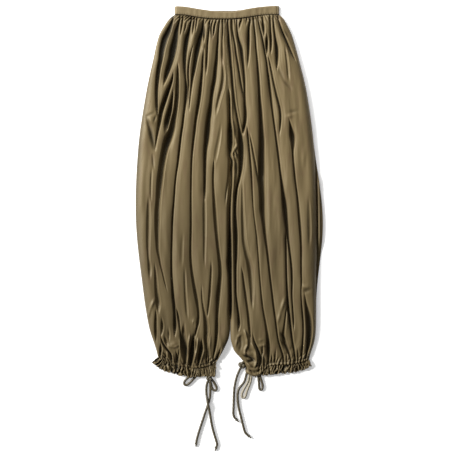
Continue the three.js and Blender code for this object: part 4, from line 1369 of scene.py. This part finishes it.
@dataclass(frozen=True)
class BackFold:
    """A long soft fold of a back panel, from one share of its width at the waist to one at the hem."""

    at_waist: float
    at_hem: float
    start: float
    end: float
    height: float
    width: float

    FADE = 60.0
    WANDER = 0.012

    def arch(self, share: Array, down: Array, breadth: Array) -> Array:
        """Gives how far the fold arches off the surface.

        Args:
            share: Places across, as a share of the panel's width.
            down: Places down.
            breadth: The panel's width at each point.

        Returns:
            The arch in millimetres.
        """
        t = np.clip((down - WAIST_SEAM) / (HEM_SEAM - WAIST_SEAM), 0, 1)
        middle = blend(self.at_waist, self.at_hem, t) + self.WANDER * np.sin(5 * t + 17 * self.at_waist)
        fade_in = smoothstep(self.start - self.FADE, self.start + self.FADE, down)
        fade_out = 1 - smoothstep(self.end - self.FADE, self.end + self.FADE, down)
        aside = (share - middle) * breadth / self.width
        return self.height * fade_in * fade_out * np.exp(-(aside**2))


BACK_FOLDS = (
    BackFold(0.08, 0.12, 0, 420, 2.6, 5),
    BackFold(0.15, 0.16, 60, 900, 3.4, 6),
    BackFold(0.22, 0.27, 0, 300, 3.0, 5),
    BackFold(0.29, 0.30, 120, 1100, 4.0, 7),
    BackFold(0.37, 0.38, 0, 560, 3.2, 5),
    BackFold(0.44, 0.47, 0, 260, 3.0, 4),
    BackFold(0.51, 0.52, 90, 1100, 4.2, 7),
    BackFold(0.58, 0.60, 0, 380, 3.0, 5),
    BackFold(0.65, 0.66, 240, 1100, 3.6, 6),
    BackFold(0.72, 0.75, 0, 480, 3.2, 5),
    BackFold(0.80, 0.81, 60, 1100, 3.6, 6),
    BackFold(0.88, 0.90, 0, 700, 2.6, 5),
)


@dataclass
class BackLeg:
    """One back leg panel, which the garment lies on, with soft folds arched off the surface."""

    side: Side
    rows: int = 160
    columns: int = 130
    lip: float = 9.0
    lip_reach: float = 13.0
    lip_begins: tuple[float, float] = (430, 500)
    lip_ends: tuple[float, float] = (640, 705)
    flat_edge: float = 25.0
    room_taken: float = 0.45

    @property
    def name(self) -> str:
        """The piece's name."""
        return f"{self.side.name.lower()}_leg_back_cloth"

    def build(self, finishes: Finishes) -> bpy.types.Object:
        stations = np.linspace(WAIST_SEAM, HEM_SEAM, self.rows)
        grid = LegGrid(self.side, BACK_SIDE_LINE[self.side], stations, self.columns)
        across, station, edges = grid.across, grid.station, grid.edges
        front, _ = FrontSurface.height(self.side, across, station, grid.down)
        arch = np.max([fold.arch(grid.share, station, grid.breadth) for fold in BACK_FOLDS], axis=0)
        arch = np.minimum(arch, self.room_taken * (front - LOWEST_FRONT))
        from_edge = np.minimum(np.abs(across - edges[:, :1]), np.abs(across - edges[:, 1:]))
        arch *= np.clip(from_edge / self.flat_edge - 0.2, 0, 1)
        beyond = self.side.value * (across - SIDE_LINE[self.side].at(station))
        lip = smoothstep(*self.lip_begins, station) * (1 - smoothstep(*self.lip_ends, station))
        arch = arch + self.lip * lip * np.sin(math.pi * np.clip(beyond / self.lip_reach, 0, 0.8))
        inner = np.stack([across, height_of(grid.down), arch], axis=-1)
        outer = inner + np.array([0, 0, WALL])
        piece = wall_object(self.name, outer, inner, np.clip(arch / 12, 0, 0.2))
        dress(piece, finishes.jersey)
        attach(piece, "root")
        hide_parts(f"back_{self.side.name.lower()}_leg")
        return piece


@dataclass
class Waistband:
    """The elasticated band: a flattened loop whose front dips in the middle."""

    columns: int = 300
    rows: int = 26
    back_rows: int = 4
    left: float = -153.4
    right: float = 138.8
    top: Line = Line(
        (
            -153.4, -150, -138, -122, -105, -88, -71, -54, -38, -20,
            0, 13, 30, 46, 63, 80, 97, 113, 130, 138.8,
        ),
        (
            0.6, -0.8, -0.6, 0.8, 3.6, 6.6, 9.2, 11.6, 13.8, 15.2,
            15.6, 14.8, 11.4, 7.4, 4.4, 1.6, -0.4, -1.8, -2.4, -1.6,
        ),
    )
    height: Line = Line(
        (-153.4, -151, -145, -100, -20, 50, 85, 118, 130, 133.5, 136.5, 138.8),
        (4.2, 7.6, 9.4, 10.8, 11.2, 10.6, 8.6, 7.0, 7.2, 6.2, 6.6, 4.2),
    )
    swell: float = 1.2
    peek: float = 4.6
    end_fold: float = 134.2
    stitched_at: float = 0.86
    stitched_width: float = 0.045
    ripple: float = 0.25
    pucker: float = 0.22
    stitch_depth: float = 0.3

    def grid(self, rows: int, rise: float) -> tuple[Array, Array, Array]:
        """Sets out the band's points.

        Args:
            rows: How many rows there are from its top edge to its seam.
            rise: How far the middle of its top edge stands above the front's.

        Returns:
            The places across and down and the share from the top edge to the seam.
        """
        t = np.linspace(0, 1, self.columns)
        eased = blend(t, (1 - np.cos(math.pi * t)) / 2, 0.5)
        line = blend(self.left, self.right, eased)
        share = np.linspace(0, 1, rows)[:, None]
        top = self.top.at(line) - rise * np.exp(-((np.abs(line + 6) / 42) ** 3))
        down = top + (WAIST_LINE.at(line) - top) * share
        across = np.repeat(line[None, :], rows, axis=0)
        return across, down, np.repeat(share, self.columns, axis=1)

    def surface(self) -> tuple[Array, Array]:
        """Works out the front's upper surface.

        Returns:
            The grid of points in millimetres, and how much painted shade each one has.
        """
        across, down, share = self.grid(self.rows, 0.0)
        height = self.height.at(across)
        edge = np.minimum(share, 1 - share) * 2
        height = height - self.swell + self.swell * rolled(edge, 0.45) * 1.6
        ripple = np.sin(across * 0.31 + np.sin(across * 0.07) * 2) * np.sin(math.pi * share)
        pucker = np.sin(across * 0.83 + 1.4 * np.sin(across * 0.19)) * smoothstep(0.62, 0.95, share)
        stitched = np.exp(-(((share - self.stitched_at) / self.stitched_width) ** 2))
        height += self.ripple * ripple + self.pucker * pucker - self.stitch_depth * stitched
        height = np.maximum(height, 2 * BAND_WALL + LAYER_GAP)
        outer = np.stack([across, height_of(down), height], axis=-1)
        # Painted shadow along the band's foot at its seam, and painted shade in the fold at its right end.
        seam = 0.9 * smoothstep(0.93, 0.99, share)
        end_fold_shade = 0.5 * np.exp(-((across - self.end_fold) ** 2))
        return outer, np.maximum(seam, end_fold_shade)

    def build(self, finishes: Finishes) -> list[bpy.types.Object]:
        """Builds the front and the back of the band."""
        outer, shade = self.surface()
        inner = wall_under(outer, BAND_WALL, BAND_WALL + LAYER_GAP / 2)
        front = wall_object("waistband_front_cloth", outer, inner, shade)
        across, down, _ = self.grid(self.back_rows, self.peek)
        outer = np.stack([across, height_of(down), np.full_like(across, BAND_WALL)], axis=-1)
        inner = outer - np.array([0, 0, BAND_WALL])
        back = wall_object("waistband_back_cloth", outer, inner, np.full_like(across, 0.25))
        for piece, node in ((front, "waistband_front"), (back, "waistband_back")):
            dress(piece, finishes.band)
            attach(piece, "root")
            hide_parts(node)
        return [front, back]


@dataclass(frozen=True)
class FrillLine:
    """Where a frill's seam and its free edge run, in rows from left to right."""

    seam: tuple[float, ...]
    edge: tuple[float, ...]
    edge_down: tuple[float, ...]


FRILLS = {
    Side.LEFT: FrillLine(
        (-201, -180, -153, -111, -83, -60, -37),
        (-216, -189, -156, -111, -80, -58, -40),
        (994, 1014, 1024, 1034, 1034, 1034.5, 1035),
    ),
    Side.RIGHT: FrillLine(
        (97, 130, 170, 205, 222),
        (92, 128, 170, 208, 229),
        (1031, 1026, 1023, 1015.5, 1003),
    ),
}
BACK_FRILLS = {
    Side.LEFT: FRILLS[Side.LEFT],
    Side.RIGHT: FrillLine(
        (46, 72, 100, 130, 170, 205, 222),
        (49, 73, 98, 128, 170, 208, 229),
        (1029, 1037, 1031, 1028, 1024, 1016, 1003),
    ),
}


def wall_within(outer: Array, thickness: float, lowest: float) -> Array:
    """Makes a wall's inner grid square to the outer one, for cloth that folds over itself.

    Args:
        outer: Grid of points, rows by columns by three, in millimetres.
        thickness: The wall's own thickness.
        lowest: The height that the inner grid stays above.

    Returns:
        The inner grid.
    """
    normal = np.cross(np.gradient(outer, axis=1), np.gradient(outer, axis=0))
    normal /= np.maximum(np.linalg.norm(normal, axis=-1, keepdims=True), 1e-6)
    normal = np.where(normal[..., 2:] < 0, normal * 0.6, normal)
    inner = outer + thickness * normal * -np.sign(np.mean(normal[..., 2]))
    inner[..., 2] = np.maximum(inner[..., 2], lowest)
    return inner


@dataclass
class Frill:
    """The frill below a hem's drawstring line, front and back, crumpled and uneven."""

    side: Side
    waves: int
    calm: tuple[float, float]
    rows: int = 18
    steps: int = 20
    seam_height: float = 7.6
    edge_height: float = 7.0
    wave: float = 3.5
    back_shorter: float = 1.5
    calming: float = 0.6
    calm_edges: tuple[float, float] = (0.06, 0.03)
    lowest: float = 2.7
    front_wall: float = 0.8
    arch: float = 0.4
    back_rows: int = 6
    back_steps: int = 10
    more_behind: int = 5

    FIRST_SEED = 20

    def lines(self, line: FrillLine, share: Array, fall: Array, shorter: float) -> tuple[Array, Array]:
        """Gives the place of each point of the frill.

        Args:
            line: Where its seam and edge run.
            share: The share along the frill.
            fall: The share from its seam to its free edge.
            shorter: How much shorter it is cut.

        Returns:
            The places across and down.
        """
        places = np.linspace(0, 1, len(line.seam))
        seam = through(places, line.seam, share)
        seam_down = HEM_LINE[self.side].at(seam) + HEM_GAP
        across = blend(seam, through(places, line.edge, share), fall)
        down = blend(seam_down, through(places, line.edge_down, share) - shorter, fall)
        return across, down

    def calmness(self, share: Array) -> Array:
        """Gives 1 where the frill lies smooth and 0 where it is crumpled, by the share along it."""
        low, high = self.calm
        soft, sharp = self.calm_edges
        begun = smoothstep(low - soft, low + soft, share)
        return begun * (1 - smoothstep(high - sharp, high + sharp, share))

    def front(self) -> bpy.types.Object:
        """Builds the front frill, whose waves stand up, lean and fold over each other."""
        columns = self.waves * self.steps + 1
        fall, share = np.meshgrid(np.linspace(0, 1, self.rows), np.linspace(0, 1, columns), indexing="ij")
        across, down = self.lines(FRILLS[self.side], share, fall, 0.0)
        place = share * self.waves
        seed = self.FIRST_SEED + self.side.value
        drift = 1.1 * uneven(place / 2.3, fall * 1.2, seed)
        drift += 0.55 * uneven(place / 1.1, fall * 1.6, seed + 4)
        phase = 2 * math.pi * (place + drift)
        slant = 3.2 * fall * uneven(place / 1.7, fall * 2.0, seed + 8)
        calm = 1 - self.calming * self.calmness(share)
        strength = (0.85 + 0.6 * uneven(place / 1.3, fall * 0.8, seed + 12)) * calm
        rise = smoothstep(0, 0.4, fall)
        crumple = uneven(place * 1.9, fall * 3.4, seed + 16)
        crumple += 0.7 * uneven(place * 3.7, fall * 6.0, seed + 20)
        wave = self.wave * strength * blend(0.7, 1.15, rise) * np.sin(phase + slant)
        sway = 1.7 * strength * blend(0.3, 1.0, rise) * np.sin(2 * (phase + slant))
        sway += 1.1 * fall * uneven(place / 0.9, fall * 1.5, seed + 24) * calm
        height = blend(self.seam_height, self.edge_height, fall) + wave + 2.2 * crumple * calm * rise
        jag = 3.6 * fall**2 * uneven(place * 1.4, fall * 0.5, seed + 28) * calm
        down = down + jag + 1.2 * fall * strength * np.cos(phase + slant)
        outer = np.stack([across + sway, height_of(down), np.maximum(height, self.lowest)], axis=-1)
        inner = wall_within(outer, self.front_wall, WALL + LAYER_GAP)
        # Painted shade in the frill's wave valleys and crumples, and a dark painted line along its seam.
        trough = 0.5 - 0.66 * np.sin(phase + slant) - 0.55 * crumple
        trough = np.clip(trough, 0, 1) ** 1.2 * np.clip(strength * 1.5 - 0.12, 0, 1)
        trough = np.maximum(trough, 0.75 * np.exp(-((fall / 0.07) ** 2)) * (np.sin(phase) < 0.2))
        return wall_object(f"frill_{self.side.name.lower()}_front", outer, inner, trough)

    def back(self) -> bpy.types.Object:
        """Builds the back frill, whose waves arch off the surface."""
        waves = self.waves if self.side is Side.LEFT else self.waves + self.more_behind
        columns = waves * self.back_steps + 1
        rows = np.linspace(0, 1, self.back_rows)
        fall, share = np.meshgrid(rows, np.linspace(0, 1, columns), indexing="ij")
        across, down = self.lines(BACK_FRILLS[self.side], share, fall, self.back_shorter)
        phase = share * waves * 2 * math.pi + 1.5 * np.sin(share * 13) + 0.8 * np.sin(share * 43)
        arch = self.arch * fall * (1 + np.sin(phase))
        down = down + fall * (1.6 * np.sin(phase) + 0.8 * np.sin(phase * 0.5 + 1))
        inner = np.stack([across, height_of(down), arch], axis=-1)
        outer = inner + np.array([0, 0, RUFFLE_WALL])
        return wall_object(f"frill_{self.side.name.lower()}_back", outer, inner, np.clip(arch, 0, 1))

    def build(self, finishes: Finishes) -> list[bpy.types.Object]:
        name = self.side.name.lower()
        width = 0.32 if self.side is Side.LEFT else 0.24
        made = []
        for piece, node, flat in (
            (self.front(), f"ruffle_{name}_front", width),
            (self.back(), f"ruffle_{name}_back", 0.17),
        ):
            dress(piece, finishes.jersey)
            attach(piece, "root")
            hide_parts(node)
            made.append(piece)
        return made


TIE_DIAMETER = 6.9
TIE_UNEVENNESS = 0.05
LIE = TIE_DIAMETER / 2 * (1 + TIE_UNEVENNESS) + 0.05
# The cord coloured pale as a painted highlight.
HIGHLIT_TIE = "tie_right_loop_inner_cord"


class TieEnd(Enum):
    """What is on a tie's far end."""

    KNOT = "knot"
    HEM = "object"


@dataclass(frozen=True)
class Tie:
    """One stretch of drawstring, from where it leaves its hem or knot."""

    name: str
    end: TieEnd
    route: tuple[tuple[float, float, float], ...]


@dataclass(frozen=True)
class HemKnot:
    """The knot of one hem's bow: its middle, how large it is across and its cord's radius."""

    across: float
    down: float
    height: float
    size: float
    cord: float


HEM_KNOTS = {
    "left": HemKnot(-56.4, 1039.6, 6.6, 9.0, 3.1),
    "right": HemKnot(35.4, 1001, 8.0, 11.6, 4.4),
}
TIES = (
    Tie("tie_left_long_right", TieEnd.KNOT, (
        (-60.2, 1046, 6.4), (-63.6, 1056, 4.6), (-65, 1070, LIE), (-64.2, 1087, LIE),
        (-62.4, 1099, 7.2), (-60, 1111, 10), (-57.2, 1123, 7.6), (-54.4, 1139, LIE),
        (-51.6, 1158, LIE), (-47.4, 1179, LIE), (-42, 1198, LIE), (-37, 1214, LIE),
        (-34.8, 1224, LIE), (-36.4, 1230, LIE))),
    Tie("tie_left_long_left", TieEnd.KNOT, (
        (-55, 1046, 6.4), (-53.6, 1056, 4.6), (-53.6, 1073, LIE), (-54.4, 1087, LIE),
        (-56.4, 1099.6, LIE), (-60.2, 1112, LIE), (-64.2, 1124, LIE), (-69.6, 1139, LIE),
        (-75, 1156, LIE), (-82, 1177, LIE), (-88.4, 1198, LIE), (-92, 1212, LIE), (-92.8, 1218, LIE))),
    Tie("tie_left_loop_outer", TieEnd.HEM, (
        (-97, 1024, LIE), (-104, 1029, LIE), (-111.6, 1034, LIE), (-119.8, 1040.6, LIE), (-126, 1048.4, LIE),
        (-126.4, 1055.4, LIE), (-120.4, 1058.2, LIE), (-112.6, 1053.2, LIE), (-105, 1045.6, LIE),
        (-98, 1038, LIE), (-91, 1030.6, LIE), (-85, 1025, LIE))),
    Tie("tie_left_loop_inner", TieEnd.HEM, (
        (-51, 1040.6, 6.4), (-46, 1046.4, 4.6), (-40.2, 1056, LIE), (-35.8, 1065, LIE),
        (-37.4, 1071.4, LIE), (-43.2, 1073, LIE), (-48.4, 1067, LIE), (-51, 1057, 4.6),
        (-53.4, 1047.4, 6.4))),
    Tie("tie_right_long_left", TieEnd.KNOT, (
        (31.6, 1009.5, 5.8), (27.6, 1016.6, 4), (21.6, 1031, LIE), (17, 1047, LIE),
        (13.9, 1063, LIE), (12.4, 1079, LIE), (11.8, 1095, LIE), (11.4, 1111, LIE),
        (10.8, 1126, LIE), (10.6, 1138, LIE), (13, 1147, LIE), (17.4, 1152.4, LIE))),
    Tie("tie_right_long_right", TieEnd.KNOT, (
        (51, 1017, LIE), (47, 1027.5, LIE), (44.6, 1038, LIE), (40.6, 1049.6, LIE), (33.4, 1059, LIE),
        (26.6, 1068.4, LIE), (23.2, 1080, LIE), (22.6, 1092, LIE), (23.6, 1106, LIE),
        (26.4, 1124, LIE), (30.4, 1141, LIE), (34.6, 1157.6, LIE), (38.4, 1173, LIE),
        (41.8, 1185.6, LIE), (45.6, 1193, LIE), (51, 1198, LIE))),
    Tie("tie_right_loop_inner", TieEnd.HEM, (
        (57, 1022, LIE), (54.8, 1034, LIE), (52, 1047, LIE), (46.6, 1058, LIE), (39.6, 1070.6, LIE),
        (34.8, 1082.6, LIE), (35.4, 1091.6, LIE), (40.4, 1094, LIE), (45, 1088, LIE),
        (48.4, 1076, LIE), (53.6, 1062.6, LIE), (58.4, 1050, LIE), (60.8, 1036, LIE), (62, 1023, LIE))),
    Tie("tie_right_loop_outer", TieEnd.HEM, (
        (83.4, 1022, LIE), (86.2, 1036, LIE), (89.4, 1046, LIE), (92.2, 1056, LIE),
        (92.6, 1065, LIE), (88.8, 1071.6, LIE), (84.6, 1070, LIE), (82.8, 1062, LIE),
        (82, 1050, LIE), (80.8, 1038, LIE), (79.6, 1024, LIE))),
)


def tube_object(
    name: str, points: Array, radius: Array, sides: int, closed: bool = False
) -> bpy.types.Object:
    """Makes a round tube along points, closed at both ends.

    Args:
        name: The piece's name.
        points: The points that it follows, in millimetres.
        radius: Its radius at each point.
        sides: How many sides its section has.
        closed: Whether its end joins its start.

    Returns:
        The object.
    """
    forward = np.gradient(points, axis=0)
    if closed:
        forward = np.roll(points, -1, axis=0) - np.roll(points, 1, axis=0)
    forward /= np.linalg.norm(forward, axis=1, keepdims=True)
    side = np.cross(forward, np.array([0.0, 0.0, 1.0]))
    side /= np.maximum(np.linalg.norm(side, axis=1, keepdims=True), 1e-6)
    up = np.cross(side, forward)
    turn = np.arange(sides) / sides * 2 * math.pi
    ring = np.cos(turn)[None, :, None] * side[:, None] + np.sin(turn)[None, :, None] * up[:, None]
    body = points[:, None] + ring * radius[:, None, None]
    count = len(points)
    vertices = [tuple(v) for v in (body.reshape(-1, 3) * MM)]
    last = count if closed else count - 1
    faces = []
    for i in range(last):
        for j in range(sides):
            k = (j + 1) % sides
            n = (i + 1) % count
            faces.append((i * sides + j, n * sides + j, n * sides + k, i * sides + k))
    if not closed:
        faces.append(tuple(range(sides)))
        faces.append(tuple(range((count - 1) * sides, count * sides))[::-1])
    mesh = bpy.data.meshes.new(name)
    mesh.from_pydata(vertices, [], faces)
    mesh.polygons.foreach_set("use_smooth", np.ones(len(faces), dtype=bool))
    mesh.update()
    return place_in_scene(bpy.data.objects.new(name, mesh))


@dataclass
class Drawstrings:
    """The drawstrings' free ends and loops, with a small knot on each end and a bow knot at each hem."""

    sides: int = 12
    step: float = 1.6
    knot_sides: int = 10
    knot_turns: int = 96
    bow_turn: float = 0.4
    end_size: float = 4.6
    end_cord: float = 1.9
    end_beyond: float = 3.6
    tail_reach: tuple[float, float] = (2.0, 8.5)
    tail_radius: tuple[float, float] = (1.5, 2.6)
    tail_rings: int = 8

    def follow(self, tie: Tie) -> Array:
        """Sets out close points on a tie's smooth route, in millimetres."""
        route = np.array([(a, height_of(d), h) for a, d, h in tie.route])
        gaps = np.linalg.norm(np.diff(route, axis=0), axis=1)
        places = np.concatenate([[0], np.cumsum(gaps)])
        at = np.linspace(0, places[-1], int(places[-1] / self.step))
        return np.stack([through(places, route[:, k], at) for k in range(3)], axis=1)

    def knot(
        self, name: str, middle: tuple[float, float, float], size: float, cord: float, turn: float
    ) -> bpy.types.Object:
        """Makes a tied overhand knot.

        Args:
            name: The piece's name.
            middle: Its middle, in millimetres.
            size: How large it is across.
            cord: The radius of its cord.
            turn: Its turn about the vertical, in radians.

        Returns:
            The knot.
        """
        t = np.linspace(0, 2 * math.pi, self.knot_turns, endpoint=False)
        x = (np.sin(t) + 2 * np.sin(2 * t)) / 3
        y = (np.cos(t) - 2 * np.cos(2 * t)) / 3
        z = -np.sin(3 * t) * 0.5
        turned_x = x * math.cos(turn) - y * math.sin(turn)
        turned_y = x * math.sin(turn) + y * math.cos(turn)
        points = np.stack([turned_x, turned_y, z], 1) * (size - cord) + np.array(middle)
        points[:, 2] = np.maximum(points[:, 2], cord + 0.1)
        return tube_object(name, points, np.full(len(points), cord), self.knot_sides, closed=True)

    def tied_end(self, tie: Tie, points: Array) -> list[bpy.types.Object]:
        """Makes the small knot on a tie's far end and the flared tail beyond it.

        Args:
            tie: The tie.
            points: The points that its cord follows.

        Returns:
            The knot and the tail.
        """
        along = points[-1] - points[-3]
        along /= np.linalg.norm(along)
        middle = points[-1] + along * self.end_beyond
        turn = math.atan2(along[1], along[0])
        end = self.knot(f"{tie.name}_end", tuple(middle), self.end_size, self.end_cord, turn)
        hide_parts(f"{tie.name}_knot")
        reach = np.linspace(*self.tail_reach, self.tail_rings)[:, None]
        radius = np.linspace(*self.tail_radius, self.tail_rings)
        tail = tube_object(f"{tie.name}_tail", middle + along * reach, radius, self.knot_sides)
        return [end, tail]

    def build(self, finishes: Finishes) -> list[bpy.types.Object]:
        made = []
        for side, knot in HEM_KNOTS.items():
            middle = (knot.across, height_of(knot.down), knot.height)
            piece = self.knot(f"bow_knot_{side}", middle, knot.size, knot.cord, self.bow_turn)
            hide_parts(f"knot_{side}")
            made.append(piece)
        for tie in TIES:
            points = self.follow(tie)
            swell = 1 + TIE_UNEVENNESS * np.sin(np.arange(len(points)) * 0.9)
            radius = np.full(len(points), TIE_DIAMETER / 2) * swell
            piece = tube_object(f"{tie.name}_cord", points, radius, self.sides)
            pieces = self.tied_end(tie, points) if tie.end is TieEnd.KNOT else []
            made += pieces
            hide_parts(tie.name)
            made.append(piece)
        for piece in made:
            dress(piece, finishes.highlit_tie if piece.name == HIGHLIT_TIE else finishes.tie)
            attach(piece, "root")
        return made


class GeometryTree:
    """Builds one geometry node group with named inputs."""

    def __init__(self, name: str) -> None:
        """Makes the group, with geometry going in and coming out."""
        self.group = bpy.data.node_groups.new(name, "GeometryNodeTree")
        self.keys: dict[str, str] = {}
        self.group.interface.new_socket("Geometry", in_out="INPUT", socket_type="NodeSocketGeometry")
        self.group.interface.new_socket("Geometry", in_out="OUTPUT", socket_type="NodeSocketGeometry")
        self.entry = self.group.nodes.new("NodeGroupInput")
        self.exit = self.group.nodes.new("NodeGroupOutput")

    def named(self, name: str, kind: str) -> bpy.types.NodeSocket:
        """Adds a named input and gives its socket inside the group."""
        socket = self.group.interface.new_socket(name, in_out="INPUT", socket_type=kind)
        self.keys[name] = socket.identifier
        return self.entry.outputs[name]

    def node(self, kind: str, settings: dict[str, object], values: dict[object, object]) -> bpy.types.Node:
        """Adds a node.

        Args:
            kind: The node's type.
            settings: Its own settings, set first.
            values: What goes into its sockets, by name or number: a socket or a constant.

        Returns:
            The node.
        """
        made = self.group.nodes.new(kind)
        for key, value in settings.items():
            setattr(made, key, value)
        for key, value in values.items():
            if isinstance(value, bpy.types.NodeSocket):
                self.group.links.new(value, made.inputs[key])
            else:
                made.inputs[key].default_value = value
        return made

    def finish(self, geometry: bpy.types.NodeSocket, material: bpy.types.Material) -> None:
        """Makes the instances real, gives them a material and ends the tree."""
        real = self.node("GeometryNodeRealizeInstances", {}, {"Geometry": geometry})
        values = {"Geometry": real.outputs[0], "Material": material}
        dressed = self.node("GeometryNodeSetMaterial", {}, values)
        self.group.links.new(dressed.outputs[0], self.exit.inputs[0])


@dataclass
class StitchRow:
    """One row of sewn stitches along points on the cloth."""

    name: str
    slot: str
    points: Array
    pitch: float = 3.4
    length: float = 2.3
    thickness: float = 0.7
    seed: int = 4
    segments: int = 6
    rings: int = 4
    sizes: tuple[float, float] = (0.8, 1.15)

    def tree(self, thread: bpy.types.Material) -> GeometryTree:
        """Builds the tree: a stitch at each step of the row, turned along it and a little uneven."""
        tree = GeometryTree(self.name)
        pitch = tree.named("Pitch", "NodeSocketFloat")
        length = tree.named("Length", "NodeSocketFloat")
        thickness = tree.named("Thickness", "NodeSocketFloat")
        seed = tree.named("Seed", "NodeSocketInt")
        curve = tree.node("GeometryNodeMeshToCurve", {}, {"Mesh": tree.entry.outputs["Geometry"]})
        steps = tree.node(
            "GeometryNodeCurveToPoints", {"mode": "LENGTH"}, {"Curve": curve.outputs[0], "Length": pitch}
        )
        values = {"Segments": self.segments, "Rings": self.rings, "Radius": 0.5}
        ball = tree.node("GeometryNodeMeshUVSphere", {}, values)
        size = tree.node("ShaderNodeCombineXYZ", {}, {"X": thickness, "Y": thickness, "Z": length})
        along = tree.node(
            "FunctionNodeAlignRotationToVector", {"axis": "Z"}, {"Vector": steps.outputs["Tangent"]}
        )
        values = {2: self.sizes[0], 3: self.sizes[1], "Seed": seed}
        vary = tree.node("FunctionNodeRandomValue", {"data_type": "FLOAT"}, values)
        sized = tree.node(
            "ShaderNodeVectorMath",
            {"operation": "SCALE"},
            {0: size.outputs[0], "Scale": vary.outputs[1]},
        )
        placed = tree.node(
            "GeometryNodeInstanceOnPoints",
            {},
            {
                "Points": steps.outputs["Points"],
                "Instance": ball.outputs["Mesh"],
                "Rotation": along.outputs[0],
                "Scale": sized.outputs[0],
            },
        )
        tree.finish(placed.outputs[0], thread)
        return tree

    def build(self, finishes: Finishes) -> bpy.types.Object:
        """Builds the row as one plain mesh and dresses it."""
        line = bpy.data.meshes.new(f"{self.name}_line")
        edges = [(i, i + 1) for i in range(len(self.points) - 1)]
        line.from_pydata([tuple(point * MM) for point in self.points], edges, [])
        base = place_in_scene(bpy.data.objects.new(f"{self.name}_line", line))
        tree = self.tree(finishes.thread)
        modifier = base.modifiers.new("stitches", "NODES")
        modifier.node_group = tree.group
        sizes = {"Pitch": self.pitch, "Length": self.length, "Thickness": self.thickness}
        for key, value in sizes.items():
            modifier[tree.keys[key]] = value * MM
        modifier[tree.keys["Seed"]] = self.seed
        graph = bpy.context.evaluated_depsgraph_get()
        mesh = bpy.data.meshes.new_from_object(base.evaluated_get(graph), depsgraph=graph)
        base.modifiers.clear()
        bpy.data.objects.remove(base)
        mesh.name = self.name
        mesh.polygons.foreach_set("use_smooth", np.ones(len(mesh.polygons), dtype=bool))
        piece = place_in_scene(bpy.data.objects.new(self.name, mesh))
        dress(piece, finishes.thread)
        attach(piece, "root")
        return piece


@dataclass
class Stitching:
    """The rows of stitches: one along the band's foot and two along each hem's drawstring channel."""

    lift: float = 0.05
    hem_rows: tuple[float, float] = (4.4, 10.5)
    from_start: int = 4
    from_band_end: int = 6
    from_hem_end: int = 4

    def build(self, finishes: Finishes) -> list[bpy.types.Object]:
        """Builds every row on the surface that it is sewn through."""
        made = []
        band = Waistband()
        surface, _ = band.surface()
        row = round(band.stitched_at * (band.rows - 1))
        up = np.array([0, 0, self.lift])
        points = surface[row, self.from_start : -self.from_band_end] + up
        made.append(StitchRow("band_stitches", "band", points).build(finishes))
        for side in Side:
            leg = FrontLeg(side)
            surface, _ = leg.surface()
            stations = leg.stations()
            for number, distance in enumerate(self.hem_rows, 1):
                row = int(np.argmin(np.abs(stations - (HEM_SEAM - distance))))
                name = f"{side.name.lower()}_hem_stitches_{number}"
                points = surface[row, self.from_start : -self.from_hem_end] + up
                made.append(StitchRow(name, "jersey", points, seed=number).build(finishes))
        return made


def main() -> None:
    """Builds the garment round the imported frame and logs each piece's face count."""
    logging.basicConfig(level=logging.INFO, format="%(name)s: %(message)s")
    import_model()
    finishes = Finishes()
    Studio().build(finishes)
    made = Drawstrings().build(finishes)
    for side in Side:
        made.append(BackLeg(side).build(finishes))
        made.append(FrontLeg(side).build(finishes))
    made += Waistband().build(finishes)
    made += Frill(Side.LEFT, waves=24, calm=(0.66, 0.97)).build(finishes)
    made += Frill(Side.RIGHT, waves=19, calm=(2.0, 3.0)).build(finishes)
    made += Stitching().build(finishes)
    for piece in made:
        LOG.info("%s: %d faces", piece.name, len(piece.data.polygons))


if __name__ == "__main__":
    main()
